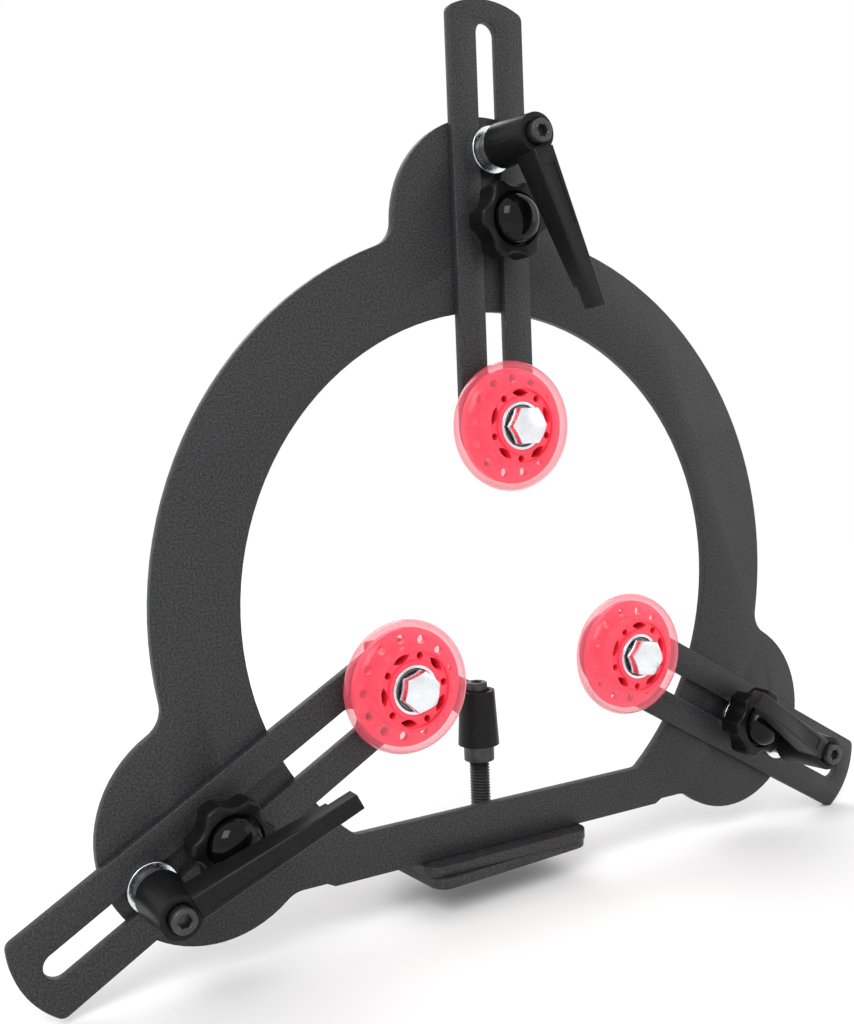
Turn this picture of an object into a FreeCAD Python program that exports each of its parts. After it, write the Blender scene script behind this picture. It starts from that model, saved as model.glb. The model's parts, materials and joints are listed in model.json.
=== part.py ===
"""Wood-lathe ring steady rest, as a parametric FreeCAD document.

Frame: millimetres, +Z up, the ring's axis along Y and its front looking along -Y. The origin lies on
the lathe bed, under the ring's centre, in the plane of the ring's front face.

Three slotted arms slide on the front of the ring, each with a skate wheel on its inner end. A ratchet
lever and a star knob on each lobe of the ring clamp the arm. A fourth lever behind the ring draws the
clamp plate up under the bed.
"""
import FreeCAD, Part
import math
import os
import Sketcher

doc = FreeCAD.newDocument("SteadyRest")
sheet = doc.addObject("Spreadsheet::Sheet", "Sizes")

SIZES = [
    # ring plate
    ("centre_height", 128.5, "bed face to the ring's axis"),
    ("ring_outer_radius", 170, "ring plate, outer edge, also the circle of the lobe centres"),
    ("ring_inner_radius", 131, "ring plate, work opening"),
    ("plate_thickness", 5, "ring plate"),
    ("lobe_radius", 50, "round lobe that carries a lever and a knob"),
    ("lobe_fillet", 12, "hollow between a lobe and the ring"),
    ("bar_fillet", 12, "hollow between a lobe and the flat bar"),
    ("bar_height", 21, "flat bar along the bottom, tongue included"),
    ("bar_corner", 5, "inner corners where the bar meets the opening"),
    ("tongue_length", 186, "part of the bar that reaches down to the foot plate"),
    ("tongue_drop", 2, "how far the tongue reaches below the rest of the bar"),
    # bed clamp
    ("foot_thickness", 5, "foot plate, welded under the bar"),
    ("foot_length", 92, "foot plate, across the bed"),
    ("foot_width", 57, "foot plate, along the bed"),
    ("foot_corner", 8, "foot plate and clamp plate, corner radius"),
    ("foot_overhang", 9, "foot plate in front of the ring's face"),
    ("foot_shift", -3, "middle of the foot plate, beside the ring's axis"),
    ("clamp_thickness", 5, "clamp plate under the bed"),
    ("clamp_twist", 4.5, "degrees the clamp plate stands askew on its stud"),
    ("weld_leg", 3, "fillet weld between the bar and the foot plate"),
    ("bed_stud_rise", 37, "foot plate to the bed lever's sleeve"),
    # arms
    ("arm_thickness", 4.5, "slotted arm"),
    ("arm_width", 40, "slotted arm"),
    ("arm_length", 194, "wheel axle to the outer end of an arm"),
    ("arm_end_radius", 40, "curve of an arm's outer end"),
    ("arm_corner", 4, "corners of an arm's outer end"),
    ("slot_width", 11, "slot in an arm"),
    ("slot_start", 22, "wheel axle to the near end of the slot"),
    ("slot_margin", 10, "far end of the slot to the outer end of the arm"),
    ("top_reach", 77.5, "ring axis to the top wheel's axle"),
    ("left_reach", 70.5, "ring axis to the left wheel's axle"),
    ("right_reach", 75.5, "ring axis to the right wheel's axle"),
    # studs, nuts and washers
    ("stud_diameter", 10, "thread of every stud and bolt"),
    ("stud_hole", 11, "holes in the ring plate and the foot plate for the studs"),
    ("thread_clearance", 0.1, "radial clearance between a thread and its nut"),
    ("across_flats", 16, "hexagon of the bolts and nuts"),
    ("crown_face", 14.8, "flat face of a bolt head, inside its turned-off corners"),
    ("nut_height", 8, "hexagon nut"),
    ("head_height", 6.4, "hexagon bolt head"),
    ("bolt_end", 1, "end of a bolt that shows behind its nut"),
    ("washer_diameter", 21.5, "washer under a lever or a knob"),
    ("washer_thickness", 2, "washer under a lever or a knob"),
    ("lever_offset", 34, "lever stud, outwards from the lobe's centre and the knob"),
    # wheels
    ("wheel_diameter", 60, "tyre"),
    ("hub_width", 17.5, "wheel core, over both bearings"),
    ("tyre_crown", 8.6, "radius of the tyre's round crown, half the tyre's width"),
    ("core_rim_radius", 18.6, "outside of the core's rim"),
    ("core_rim_wall", 1.6, "wall of the core's rim"),
    ("core_hub_wall", 2, "wall of the core round the bearings"),
    ("core_web_inset", 1.2, "spoked web below the ends of the hub"),
    ("anchor_radius", 26.5, "flange of the core that the tyre is moulded round"),
    ("anchor_thickness", 3, "the same flange"),
    ("anchor_hole", 4.2, "holes in the flange"),
    ("anchor_circle", 21.8, "radius of the circle that those holes stand on"),
    ("lens_length", 8.6, "lens-shaped window in the web"),
    ("lens_height", 3.4, "lens-shaped window in the web"),
    ("round_window", 3.3, "round window in the web"),
    ("bearing_diameter", 22, "ball bearing, outside"),
    ("bearing_width", 6, "ball bearing"),
    ("bearing_race", 1.5, "wall of the bearing's rings"),
    ("bearing_gap", 0.3, "between the shield and the inner ring"),
    ("shield_inset", 0.3, "shield below the face of the outer ring"),
    ("spacer_thickness", 0.8, "thin washers on the axle"),
    ("axle_clearance", 0.05, "radial clearance on the axle bolt"),
    # ratchet levers
    ("sleeve_diameter", 15, "steel sleeve at the foot of a lever"),
    ("sleeve_height", 8, "part of the sleeve that shows under the hub"),
    ("boss_diameter", 12.4, "upper part of the sleeve, inside the hub"),
    ("boss_height", 12, "upper part of the sleeve, inside the hub"),
    ("hub_base_diameter", 20.4, "lever hub, lower end"),
    ("hub_top_diameter", 17.4, "lever hub, upper end"),
    ("hub_height", 26.8, "lever hub"),
    ("hub_clearance", 0.3, "hub bores round the sleeve, the screw and the spring"),
    ("lift_travel", 3.5, "how far a handle lifts off its teeth"),
    ("tooth_depth", 0.9, "teeth between the sleeve and the hub"),
    ("tooth_height", 3, "length of the teeth along the axis"),
    ("screw_diameter", 6, "retaining screw of a lever"),
    ("screw_head_diameter", 10.4, "retaining screw of a lever"),
    ("screw_head_height", 6, "retaining screw of a lever"),
    ("screw_socket", 5, "hexagon socket of the retaining screw, across flats"),
    ("socket_depth", 3.2, "hexagon socket of the retaining screw"),
    ("screw_rise", 4.2, "screw head above the top of the hub"),
    ("hub_recess", 0.9, "step in the top of the hub, round the screw head"),
    ("spring_height", 2.2, "spring under the screw head, shown compressed"),
    ("handle_length", 78, "hub axis to the tip of the handle"),
    ("handle_rise", 15.2, "how much the top of the handle climbs from the hub's axis to its tip"),
    ("handle_root_rise", 1, "top of the handle above the top of the hub, at the hub's axis"),
    ("handle_bevel", 0.5, "bevel along the top of the handle"),
    ("handle_root_width", 10.5, "handle beside the hub"),
    ("handle_tip_width", 7, "handle at the tip"),
    ("handle_root_depth", 15, "handle beside the hub"),
    ("handle_tip_depth", 7.5, "handle at the tip"),
    ("heel_length", 10, "thinner end of the handle's underside"),
    ("heel_step", 1.2, "step where the thinner end starts"),
    ("panel_start", 14, "shallow panel on the handle, from the hub's axis"),
    ("panel_length", 27, "shallow panel on the handle"),
    ("panel_width", 5.6, "shallow panel on the handle"),
    ("panel_depth", 0.4, "shallow panel on the handle"),
    # star knobs
    ("knob_diameter", 36, "over the points of a knob"),
    ("knob_height", 13, "star part of a knob"),
    ("knob_neck_diameter", 19, "neck between the star and the washer"),
    ("knob_neck_height", 4.5, "neck between the star and the washer"),
    ("knob_hollow_radius", 10, "hollow between two points"),
    ("knob_hollow_depth", 3, "the same hollow, below the points"),
    ("knob_edge", 1.6, "bevel of the star's edges"),
    ("cap_diameter", 22.5, "domed cap in a knob"),
    ("cap_rise", 7.5, "dome above the star"),
    ("cap_seat", 2.5, "depth of the cap in the star"),
    ("cap_groove", 1, "groove round the cap"),
]

WINDOWS = 5          # lens-shaped windows in a wheel core, and as many round ones between them
CROWN_FLATS = 6      # flats that stand for the round crown of a tyre
CAP_FLATS = 4        # flats that stand for the dome of a knob's cap
ANCHOR_HOLES = 13    # holes in the flange inside the tyre
KNOB_POINTS = 6      # points of a star knob
LEVER_TEETH = 16     # teeth between a lever's sleeve and its hub
BED_LEVER_HEADING = 15   # degrees from +Y towards -X


class Size:
    """A length with its present value and the sheet expression that gives it."""

    def __init__(self, value, text):
        self.value = value
        self.text = text

    def combined(self, other, sign, value):
        return Size(value, "(%s %s %s)" % (self.text, sign, other.text))

    def __add__(self, other):
        other = as_size(other)
        return self.combined(other, "+", self.value + other.value)

    def __sub__(self, other):
        other = as_size(other)
        return self.combined(other, "-", self.value - other.value)

    def __mul__(self, other):
        other = as_size(other)
        return self.combined(other, "*", self.value * other.value)

    def __truediv__(self, other):
        other = as_size(other)
        return self.combined(other, "/", self.value / other.value)

    def __neg__(self):
        return as_size(0) - self

    def __radd__(self, other):
        return as_size(other) + self

    def __rsub__(self, other):
        return as_size(other) - self

    def __rmul__(self, other):
        return as_size(other) * self

    def root(self):
        return Size(math.sqrt(self.value), "sqrt(%s)" % self.text)


def as_size(number):
    return number if isinstance(number, Size) else Size(float(number), "(%r)" % float(number))


class SheetSizes:
    """The sheet's cells by name."""


sizes = SheetSizes()
for row, (alias, number, note) in enumerate(SIZES, start=1):
    sheet.set("A%d" % row, alias)
    sheet.set("B%d" % row, str(number))
    sheet.set("C%d" % row, note)
    sheet.setAlias("B%d" % row, alias)
    setattr(sizes, alias, Size(float(number), "Sizes." + alias))
doc.recompute()


# ---------------------------------------------------------------- helpers

def bind(thing, name, size):
    """Tie a property to the sheet."""
    thing.setExpression(name, as_size(size).text)


def new_body(label):
    body = doc.addObject("PartDesign::Body", label)
    body.Label = label
    return body


def new_sketch(body, name, role="XZ_Plane", offset=None):
    """A sketch on one of the body's own origin planes, moved along that plane's normal."""
    sketch = body.newObject("Sketcher::SketchObject", name)
    plane = [item for item in body.Origin.OriginFeatures if item.Role == role][0]
    sketch.AttachmentSupport = [(plane, "")]
    sketch.MapMode = "FlatFace"
    if offset is not None:
        bind(sketch, "AttachmentOffset.Base.z", offset)
    return sketch


def dimension(sketch, kind, references, size):
    """Add a dimension to a sketch and tie it to the sheet."""
    size = as_size(size)
    index = sketch.addConstraint(Sketcher.Constraint(kind, *references, size.value))
    bind(sketch, "Constraints[%d]" % index, size)


def hold_point(sketch, geometry, end, x, y):
    """Place a point of a sketch from the origin."""
    dimension(sketch, "DistanceX", (-1, 1, geometry, end), x)
    dimension(sketch, "DistanceY", (-1, 1, geometry, end), y)


def add_circle(sketch, x, y, radius):
    x, y, radius = as_size(x), as_size(y), as_size(radius)
    centre = FreeCAD.Vector(x.value, y.value, 0)
    circle = sketch.addGeometry(Part.Circle(centre, FreeCAD.Vector(0, 0, 1), radius.value))
    dimension(sketch, "Radius", (circle,), radius)
    hold_point(sketch, circle, 3, x, y)


def arc_between(start, end, radius, side):
    """The short arc from start to end, its centre to the left (side 1) or right (side -1)."""
    chord = end - start
    middle = (start + end) * 0.5
    reach = math.sqrt(max(radius ** 2 - (chord.Length / 2) ** 2, 0.0))
    normal = FreeCAD.Vector(-chord.y, chord.x, 0).normalize() * side
    centre = middle + normal * reach
    top = centre - normal * radius
    return Part.Arc(start, top, end)


def add_outline(sketch, corners, arcs=None):
    """A closed outline. corners are (x, y); arcs gives (radius, side) for the segments that are round."""
    arcs = arcs or {}
    corners = [(as_size(x), as_size(y)) for x, y in corners]
    points = [FreeCAD.Vector(x.value, y.value, 0) for x, y in corners]
    segments = []
    for index, start in enumerate(points):
        end = points[(index + 1) % len(points)]
        if index in arcs:
            radius, side = arcs[index]
            arc = arc_between(start, end, as_size(radius).value, side)
            segment = sketch.addGeometry(arc)
            # an arc that runs clockwise is stored the other way round
            ends = (1, 2) if side > 0 else (2, 1)
            dimension(sketch, "Radius", (segment,), radius)
        else:
            segment = sketch.addGeometry(Part.LineSegment(start, end))
            ends = (1, 2)
        segments.append((segment, ends))
    for index, (segment, ends) in enumerate(segments):
        following, next_ends = segments[(index + 1) % len(segments)]
        sketch.addConstraint(Sketcher.Constraint("Coincident", segment, ends[1], following, next_ends[0]))
        hold_point(sketch, segment, ends[0], *corners[index])


def add_rectangle(sketch, left, bottom, right, top):
    add_outline(sketch, [(left, bottom), (right, bottom), (right, top), (left, top)])


def pad(body, sketch, length, backwards=False, centred=False):
    """Pad a sketch along its normal: for an XZ sketch that is towards the front, -Y."""
    feature = body.newObject("PartDesign::Pad", sketch.Name + "Pad")
    feature.Profile = sketch
    bind(feature, "Length", length)
    feature.Reversed = backwards
    feature.Midplane = centred
    sketch.Visibility = False
    body.Tip = feature
    return feature


def cut(body, sketch, length=None, backwards=False):
    """Pocket a sketch to a depth, or right through both ways."""
    before = body.Tip
    feature = body.newObject("PartDesign::Pocket", sketch.Name + "Pocket")
    feature.Profile = sketch
    feature.Reversed = backwards
    if length is None:
        feature.Type = "ThroughAll"
        feature.Midplane = True
    else:
        bind(feature, "Length", length)
    sketch.Visibility = False
    body.Tip = feature
    doc.recompute()
    if feature.Shape.Volume >= before.Shape.Volume:
        raise RuntimeError("%s cuts nothing" % feature.Name)
    return feature


def revolve(body, sketch):
    """Turn an XY sketch round the Y axis."""
    feature = body.newObject("PartDesign::Revolution", sketch.Name + "Turned")
    feature.Profile = sketch
    feature.ReferenceAxis = (sketch, ["V_Axis"])
    feature.Angle = 360
    body.Tip = feature
    return feature


def repeat_round(body, feature, sketch, count):
    """Repeat a feature round the normal of its sketch."""
    pattern = body.newObject("PartDesign::PolarPattern", feature.Name + "Ring")
    pattern.Originals = [feature]
    pattern.Axis = (sketch, ["N_Axis"])
    pattern.Angle = 360
    pattern.Occurrences = count
    body.Tip = pattern
    return pattern


def round_edges(body, chosen, radius, kind="PartDesign::Fillet"):
    """Fillet or chamfer the edges of the body's tip that chosen(edge) picks."""
    doc.recompute()
    base = body.Tip
    names = ["Edge%d" % (i + 1) for i, edge in enumerate(base.Shape.Edges) if chosen(edge)]
    feature = body.newObject(kind, base.Name + kind.split("::")[1])
    feature.Base = (base, names)
    bind(feature, "Radius" if kind.endswith("Fillet") else "Size", radius)
    body.Tip = feature
    return feature


def along_y(edge):
    """Whether an edge is straight and runs along Y."""
    if edge.Curve.TypeId != "Part::GeomLine":
        return False
    return abs(edge.tangentAt(edge.FirstParameter).y) > 0.999


def turned(label, profile, arcs=None):
    """A body turned round Y. profile is a list of (radius, place along Y)."""
    body = new_body(label)
    sketch = new_sketch(body, label + "Profile", "XY_Plane")
    add_outline(sketch, profile, arcs)
    revolve(body, sketch)
    return body


def round_in_flats(radius, centre_radius, start, end, flats):
    """Corners along an arc of a turned profile that is made in flats, its centre on the origin's plane."""
    corners = []
    for step in range(flats + 1):
        angle = math.radians(start + (end - start) * step / flats)
        corners.append((centre_radius + as_size(radius) * math.cos(angle), as_size(radius) * math.sin(angle)))
    return corners


def tube(label, inner_radius, outer_radius, near, far):
    """A plain ring or tube round Y."""
    return turned(label, [(inner_radius, near), (outer_radius, near), (outer_radius, far),
                          (inner_radius, far)])


# ---------------------------------------------------------------- stations

class Station:
    """One of the three arms: its turn round Y from straight up, and how it is set."""

    def __init__(self, name, turn, reach, lever_turn, wheel_turn, bolt_turn):
        self.name = name
        self.turn = turn
        self.reach = reach
        self.lever_turn = lever_turn
        self.wheel_turn = wheel_turn
        self.bolt_turn = bolt_turn


STATIONS = [
    Station("top", 0, sizes.top_reach, 166, 1, 0),
    Station("left", -120, sizes.left_reach, 63, 49, -18),
    Station("right", 120, sizes.right_reach, -57, -68, 10),
]


def place(part, station, along, forward, spin=None):
    """Put a part at a station: outwards from the ring's axis and forward of its face."""
    spin = station.turn if spin is None else spin
    part.Placement = FreeCAD.Placement(FreeCAD.Vector(), FreeCAD.Rotation(FreeCAD.Vector(0, 1, 0), spin))
    angle = math.radians(station.turn)
    bind(part, "Placement.Base.x", as_size(along) * math.sin(angle))
    bind(part, "Placement.Base.y", -as_size(forward))
    bind(part, "Placement.Base.z", sizes.centre_height + as_size(along) * math.cos(angle))


# ---------------------------------------------------------------- ring and foot

bar_bottom = sizes.foot_thickness - sizes.centre_height      # tongue, from the ring's axis
bar_top = bar_bottom + sizes.bar_height
bar_shoulder = bar_bottom + sizes.tongue_drop
bed_stud_y = sizes.foot_width / 2 - sizes.foot_overhang


def make_ring_plate():
    """Ring with three round lobes, a flat bar below, a tongue on the bar and holes for the studs."""
    body = new_body("ring_plate")
    disc = new_sketch(body, "RingDisc")
    add_circle(disc, 0, 0, sizes.ring_outer_radius)
    pad(body, disc, sizes.plate_thickness, backwards=True)

    chord = new_sketch(body, "RingChord")
    wide = sizes.ring_outer_radius + sizes.lobe_radius
    add_rectangle(chord, -wide, -wide, wide, bar_shoulder)
    cut(body, chord)

    bar = new_sketch(body, "RingBar")
    lobe_across = sizes.ring_outer_radius * math.sin(math.radians(STATIONS[-1].turn))
    add_rectangle(bar, -lobe_across, bar_shoulder, lobe_across, bar_top)
    pad(body, bar, sizes.plate_thickness, backwards=True)

    lobe = new_sketch(body, "RingLobe")
    add_circle(lobe, 0, sizes.ring_outer_radius, sizes.lobe_radius)
    lobe_pad = pad(body, lobe, sizes.plate_thickness, backwards=True)
    repeat_round(body, lobe_pad, lobe, len(STATIONS))

    opening = new_sketch(body, "RingOpening")
    half_chord = (sizes.ring_inner_radius * sizes.ring_inner_radius - bar_top * bar_top).root()
    left, right = (-half_chord, bar_top), (half_chord, bar_top)
    crown_left, crown_right = (-sizes.ring_inner_radius, 0), (sizes.ring_inner_radius, 0)
    top = (0, sizes.ring_inner_radius)
    radius = sizes.ring_inner_radius
    add_outline(opening, [left, right, crown_right, top, crown_left],
                {1: (radius, 1), 2: (radius, 1), 3: (radius, 1), 4: (radius, 1)})
    cut(body, opening)

    def bar_corner_edge(edge):
        place_x = abs(abs(edge.CenterOfMass.x) - half_chord.value)
        return along_y(edge) and place_x < 0.01 and abs(edge.CenterOfMass.z - bar_top.value) < 0.01

    round_edges(body, bar_corner_edge, sizes.bar_corner)

    def lobe_edge(edge):
        """Where a lobe's circle runs into the ring's outer edge."""
        middle = edge.CenterOfMass
        reach = math.hypot(middle.x, middle.z)
        return along_y(edge) and abs(reach - sizes.ring_outer_radius.value) < 0.01

    round_edges(body, lobe_edge, sizes.lobe_fillet)

    def bar_edge(edge):
        """Where a lobe's circle runs into the bar."""
        return along_y(edge) and abs(edge.CenterOfMass.z - bar_shoulder.value) < 0.01

    round_edges(body, bar_edge, sizes.bar_fillet)

    tongue = new_sketch(body, "RingTongue")
    half = sizes.tongue_length / 2
    slope = sizes.tongue_drop * 2
    overlap = bar_shoulder + sizes.tongue_drop
    add_outline(tongue, [(-half, bar_bottom), (half, bar_bottom), (half + slope, bar_shoulder),
                         (half, overlap), (-half, overlap), (-half - slope, bar_shoulder)])
    pad(body, tongue, sizes.plate_thickness, backwards=True)

    holes = new_sketch(body, "RingStudHoles")
    add_circle(holes, 0, sizes.ring_outer_radius, sizes.stud_hole / 2)
    add_circle(holes, 0, sizes.ring_outer_radius + sizes.lever_offset, sizes.stud_hole / 2)
    hole_cut = cut(body, holes)
    repeat_round(body, hole_cut, holes, len(STATIONS))
    bind(body, "Placement.Base.z", sizes.centre_height)


def rounded_plate(label, thickness, hole_radius):
    """A plate with rounded corners and one hole in the middle, its upper face at its own origin."""
    body = new_body(label)
    outline = new_sketch(body, label + "Outline", "XY_Plane")
    add_rectangle(outline, -sizes.foot_length / 2, -sizes.foot_width / 2,
                  sizes.foot_length / 2, sizes.foot_width / 2)
    pad(body, outline, thickness, backwards=True)

    def corner(edge):
        straight = edge.Curve.TypeId == "Part::GeomLine"
        return straight and abs(edge.tangentAt(edge.FirstParameter).z) > 0.999

    round_edges(body, corner, sizes.foot_corner)
    hole = new_sketch(body, label + "Hole", "XY_Plane")
    add_circle(hole, 0, 0, hole_radius)
    cut(body, hole)
    return body


def make_foot():
    """Foot plate welded under the bar, and the weld beads that hold it."""
    foot = rounded_plate("foot_plate", sizes.foot_thickness, sizes.stud_hole / 2)
    bind(foot, "Placement.Base.x", sizes.foot_shift)
    bind(foot, "Placement.Base.y", bed_stud_y)
    bind(foot, "Placement.Base.z", sizes.foot_thickness)

    weld = new_body("foot_weld")
    bead = new_sketch(weld, "WeldBead", "YZ_Plane")
    back = sizes.plate_thickness
    add_outline(bead, [(back, sizes.foot_thickness), (back + sizes.weld_leg, sizes.foot_thickness),
                       (back, sizes.foot_thickness + sizes.weld_leg)])
    pad(weld, bead, sizes.foot_length - sizes.foot_corner * 2, centred=True)
    bind(weld, "Placement.Base.x", sizes.foot_shift)


def make_clamp_plate():
    """Plate that the bed lever draws up under the bed, tapped for the bed stud."""
    hole = sizes.stud_diameter / 2 + sizes.thread_clearance
    plate = rounded_plate("clamp_plate", sizes.clamp_thickness, hole)
    plate.Placement = FreeCAD.Placement(FreeCAD.Vector(), FreeCAD.Rotation(FreeCAD.Vector(0, 0, 1), 0))
    bind(plate, "Placement.Rotation.Angle", sizes.clamp_twist)
    bind(plate, "Placement.Base.x", sizes.foot_shift)
    bind(plate, "Placement.Base.y", bed_stud_y)


# ---------------------------------------------------------------- arms and axles

def make_arm(station):
    """Slotted flat arm: rounded round the wheel's axle, curved at the outer end."""
    body = new_body(station.name + "_arm")
    half = sizes.arm_width / 2
    end = sizes.arm_end_radius
    sagitta = end - (end * end - half * half).root()
    shoulder = sizes.arm_length - sagitta
    outline = new_sketch(body, station.name + "ArmOutline")
    add_outline(outline, [(half, 0), (half, shoulder), (0, sizes.arm_length), (-half, shoulder),
                          (-half, 0), (0, -half)],
                {1: (end, 1), 2: (end, 1), 4: (half, 1), 5: (half, 1)})
    pad(body, outline, sizes.arm_thickness)

    def outer_corner(edge):
        return along_y(edge) and abs(edge.CenterOfMass.z - shoulder.value) < 0.01

    round_edges(body, outer_corner, sizes.arm_corner)

    slot = new_sketch(body, station.name + "ArmSlot")
    radius = sizes.slot_width / 2
    near = sizes.slot_start + radius
    far = sizes.arm_length - sizes.slot_margin - radius
    add_outline(slot, [(radius, near), (radius, far), (0, far + radius), (-radius, far), (-radius, near),
                       (0, near - radius)],
                {1: (radius, 1), 2: (radius, 1), 4: (radius, 1), 5: (radius, 1)})
    cut(body, slot)

    axle_hole = new_sketch(body, station.name + "ArmAxleHole")
    add_circle(axle_hole, 0, 0, sizes.stud_diameter / 2 + sizes.axle_clearance)
    cut(body, axle_hole)
    place(body, station, station.reach, 0)


def hexagon_prism(name, across_flats, height, forward):
    """Hexagonal prism along -Y that starts at a place forward of the origin."""
    prism = doc.addObject("Part::Prism", name)
    prism.Polygon = 6
    bind(prism, "Circumradius", as_size(across_flats) / math.sqrt(3))
    bind(prism, "Height", height)
    prism.Placement = FreeCAD.Placement(FreeCAD.Vector(), FreeCAD.Rotation(FreeCAD.Vector(1, 0, 0), 90))
    bind(prism, "Placement.Base.y", -as_size(forward))
    return prism


def cylinder(name, radius, height, forward):
    """Cylinder along -Y that starts at a place forward of the origin."""
    round_bar = doc.addObject("Part::Cylinder", name)
    bind(round_bar, "Radius", radius)
    bind(round_bar, "Height", height)
    round_bar.Placement = FreeCAD.Placement(FreeCAD.Vector(), FreeCAD.Rotation(FreeCAD.Vector(1, 0, 0), 90))
    bind(round_bar, "Placement.Base.y", -as_size(forward))
    return round_bar


def boolean(kind, label, base, tool):
    """Cut, fuse or intersect two objects under a new label."""
    result = doc.addObject("Part::" + kind, label)
    result.Base = base
    result.Tool = tool
    result.Label = label
    return result


def crowned_hexagon(name, height, forward):
    """Hexagon whose corners are turned off at the outer end, as bolt heads and nuts are."""
    prism = hexagon_prism(name + "Hexagon", sizes.across_flats, height, forward)
    cone = doc.addObject("Part::Cone", name + "Crown")
    face = sizes.crown_face / 2
    bind(cone, "Radius1", face + as_size(height) * math.sqrt(3))
    bind(cone, "Radius2", face)
    bind(cone, "Height", height)
    cone.Placement = FreeCAD.Placement(FreeCAD.Vector(), FreeCAD.Rotation(FreeCAD.Vector(1, 0, 0), 90))
    bind(cone, "Placement.Base.y", -as_size(forward))
    return boolean("Common", name + "Crowned", prism, cone)


hub_back = sizes.arm_thickness + sizes.spacer_thickness      # forward of the ring's face
hub_front = hub_back + sizes.hub_width
head_seat = hub_front + sizes.spacer_thickness


def make_axle(station):
    """Hexagon bolt, its nut behind the arm, and the thin washers, rings and tube on the axle."""
    name = station.name
    head = crowned_hexagon(name + "BoltHead", sizes.head_height, head_seat)
    shank_length = head_seat + sizes.spacer_thickness + sizes.nut_height + sizes.bolt_end
    shank = cylinder(name + "BoltShank", sizes.stud_diameter / 2, shank_length, head_seat - shank_length)
    bolt = boolean("Fuse", name + "_axle_bolt", head, shank)
    place(bolt, station, station.reach, 0, station.turn + station.bolt_turn)

    bore = sizes.stud_diameter / 2 + sizes.axle_clearance
    nut_back = -sizes.spacer_thickness - sizes.nut_height
    blank = hexagon_prism(name + "NutBlank", sizes.across_flats, sizes.nut_height, nut_back)
    thread = cylinder(name + "NutThread", bore, sizes.nut_height, nut_back)
    nut = boolean("Cut", name + "_axle_nut", blank, thread)
    place(nut, station, station.reach, 0)

    ring_radius = bore + sizes.bearing_race
    washers = new_body(name + "_axle_washers")
    profile = new_sketch(washers, name + "AxleWasherRings", "XY_Plane")
    for near, radius in ((-sizes.spacer_thickness, sizes.across_flats / 2),
                         (sizes.arm_thickness, ring_radius), (hub_front, ring_radius)):
        add_rectangle(profile, bore, -near - sizes.spacer_thickness, radius, -near)
    revolve(washers, profile)
    place(washers, station, station.reach, 0)

    rings = new_body(name + "_axle_rings")
    profile = new_sketch(rings, name + "AxleRings", "XY_Plane")
    for near, far in ((hub_back, hub_back + sizes.bearing_width),
                      (hub_front - sizes.bearing_width, hub_front)):
        add_rectangle(profile, bore, -far, ring_radius, -near)
    revolve(rings, profile)
    place(rings, station, station.reach, 0)

    spacer = tube(name + "_axle_tube", bore, bore + sizes.core_hub_wall / 2,
                  -(hub_back + sizes.bearing_width), sizes.bearing_width - hub_front)
    place(spacer, station, station.reach, 0)


# ---------------------------------------------------------------- wheels

def make_core(station):
    """Skate-wheel core: hub, spoked web with lens and round windows, rim and drilled anchor flange."""
    name = station.name
    half = sizes.hub_width / 2
    seat = sizes.bearing_diameter / 2
    shoulder = half - sizes.bearing_width
    hub = seat + sizes.core_hub_wall
    web = half - sizes.core_web_inset
    rim = sizes.core_rim_radius
    rim_inside = rim - sizes.core_rim_wall
    flange = sizes.anchor_thickness / 2
    side = [(seat - sizes.bearing_race, shoulder), (seat, shoulder), (seat, half), (hub, half), (hub, web),
            (rim_inside, web), (rim_inside, half), (rim, half), (rim, flange), (sizes.anchor_radius, flange)]
    mirrored = [(radius, -as_size(place_y)) for radius, place_y in reversed(side)]
    body = turned(name + "_wheel_core", side + mirrored)

    pitch = (hub + rim_inside) / 2
    lens = new_sketch(body, name + "LensWindow", "XZ_Plane")
    half_length = sizes.lens_length / 2
    half_height = sizes.lens_height / 2
    bulge = (half_length * half_length + half_height * half_height) / (half_height * 2)
    add_outline(lens, [(-half_length, pitch), (half_length, pitch)], {0: (bulge, 1), 1: (bulge, 1)})
    repeat_round(body, cut(body, lens), lens, WINDOWS)

    hole = new_sketch(body, name + "RoundWindow", "XZ_Plane")
    angle = math.pi / WINDOWS
    add_circle(hole, pitch * math.sin(angle), pitch * math.cos(angle), sizes.round_window / 2)
    repeat_round(body, cut(body, hole), hole, WINDOWS)

    anchor = new_sketch(body, name + "AnchorHole", "XZ_Plane")
    add_circle(anchor, 0, sizes.anchor_circle, sizes.anchor_hole / 2)
    repeat_round(body, cut(body, anchor), anchor, ANCHOR_HOLES)
    place(body, station, station.reach, hub_back + half, station.wheel_turn)


def make_tyre(station):
    """Tyre with a round crown, moulded round the core's rim and anchor flange."""
    rim = sizes.core_rim_radius
    crown = sizes.tyre_crown
    side = sizes.wheel_diameter / 2 - crown
    flange = sizes.anchor_thickness / 2
    inside = [(rim, crown), (rim, flange), (sizes.anchor_radius, flange), (sizes.anchor_radius, -flange),
              (rim, -flange), (rim, -crown)]
    outside = round_in_flats(crown, side, -90, 90, CROWN_FLATS)
    tyre = turned(station.name + "_tyre", inside + outside)
    place(tyre, station, station.reach, hub_back + sizes.hub_width / 2)


def make_bearings(station):
    """Outer rings of the two ball bearings, closed by their shields."""
    outer = sizes.bearing_diameter / 2
    race = outer - sizes.bearing_race
    lip = (sizes.stud_diameter / 2 + sizes.axle_clearance + sizes.bearing_race) + sizes.bearing_gap
    body = new_body(station.name + "_bearings")
    profile = new_sketch(body, station.name + "BearingRings", "XY_Plane")
    for near in (hub_back, hub_front - sizes.bearing_width):
        far = near + sizes.bearing_width
        shield_near = near + sizes.shield_inset
        shield_far = far - sizes.shield_inset
        add_outline(profile, [(outer, -near), (race, -near), (race, -shield_near), (lip, -shield_near),
                              (lip, -shield_far), (race, -shield_far), (race, -far), (outer, -far)])
    revolve(body, profile)
    place(body, station, station.reach, 0)


# ---------------------------------------------------------------- levers

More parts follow.
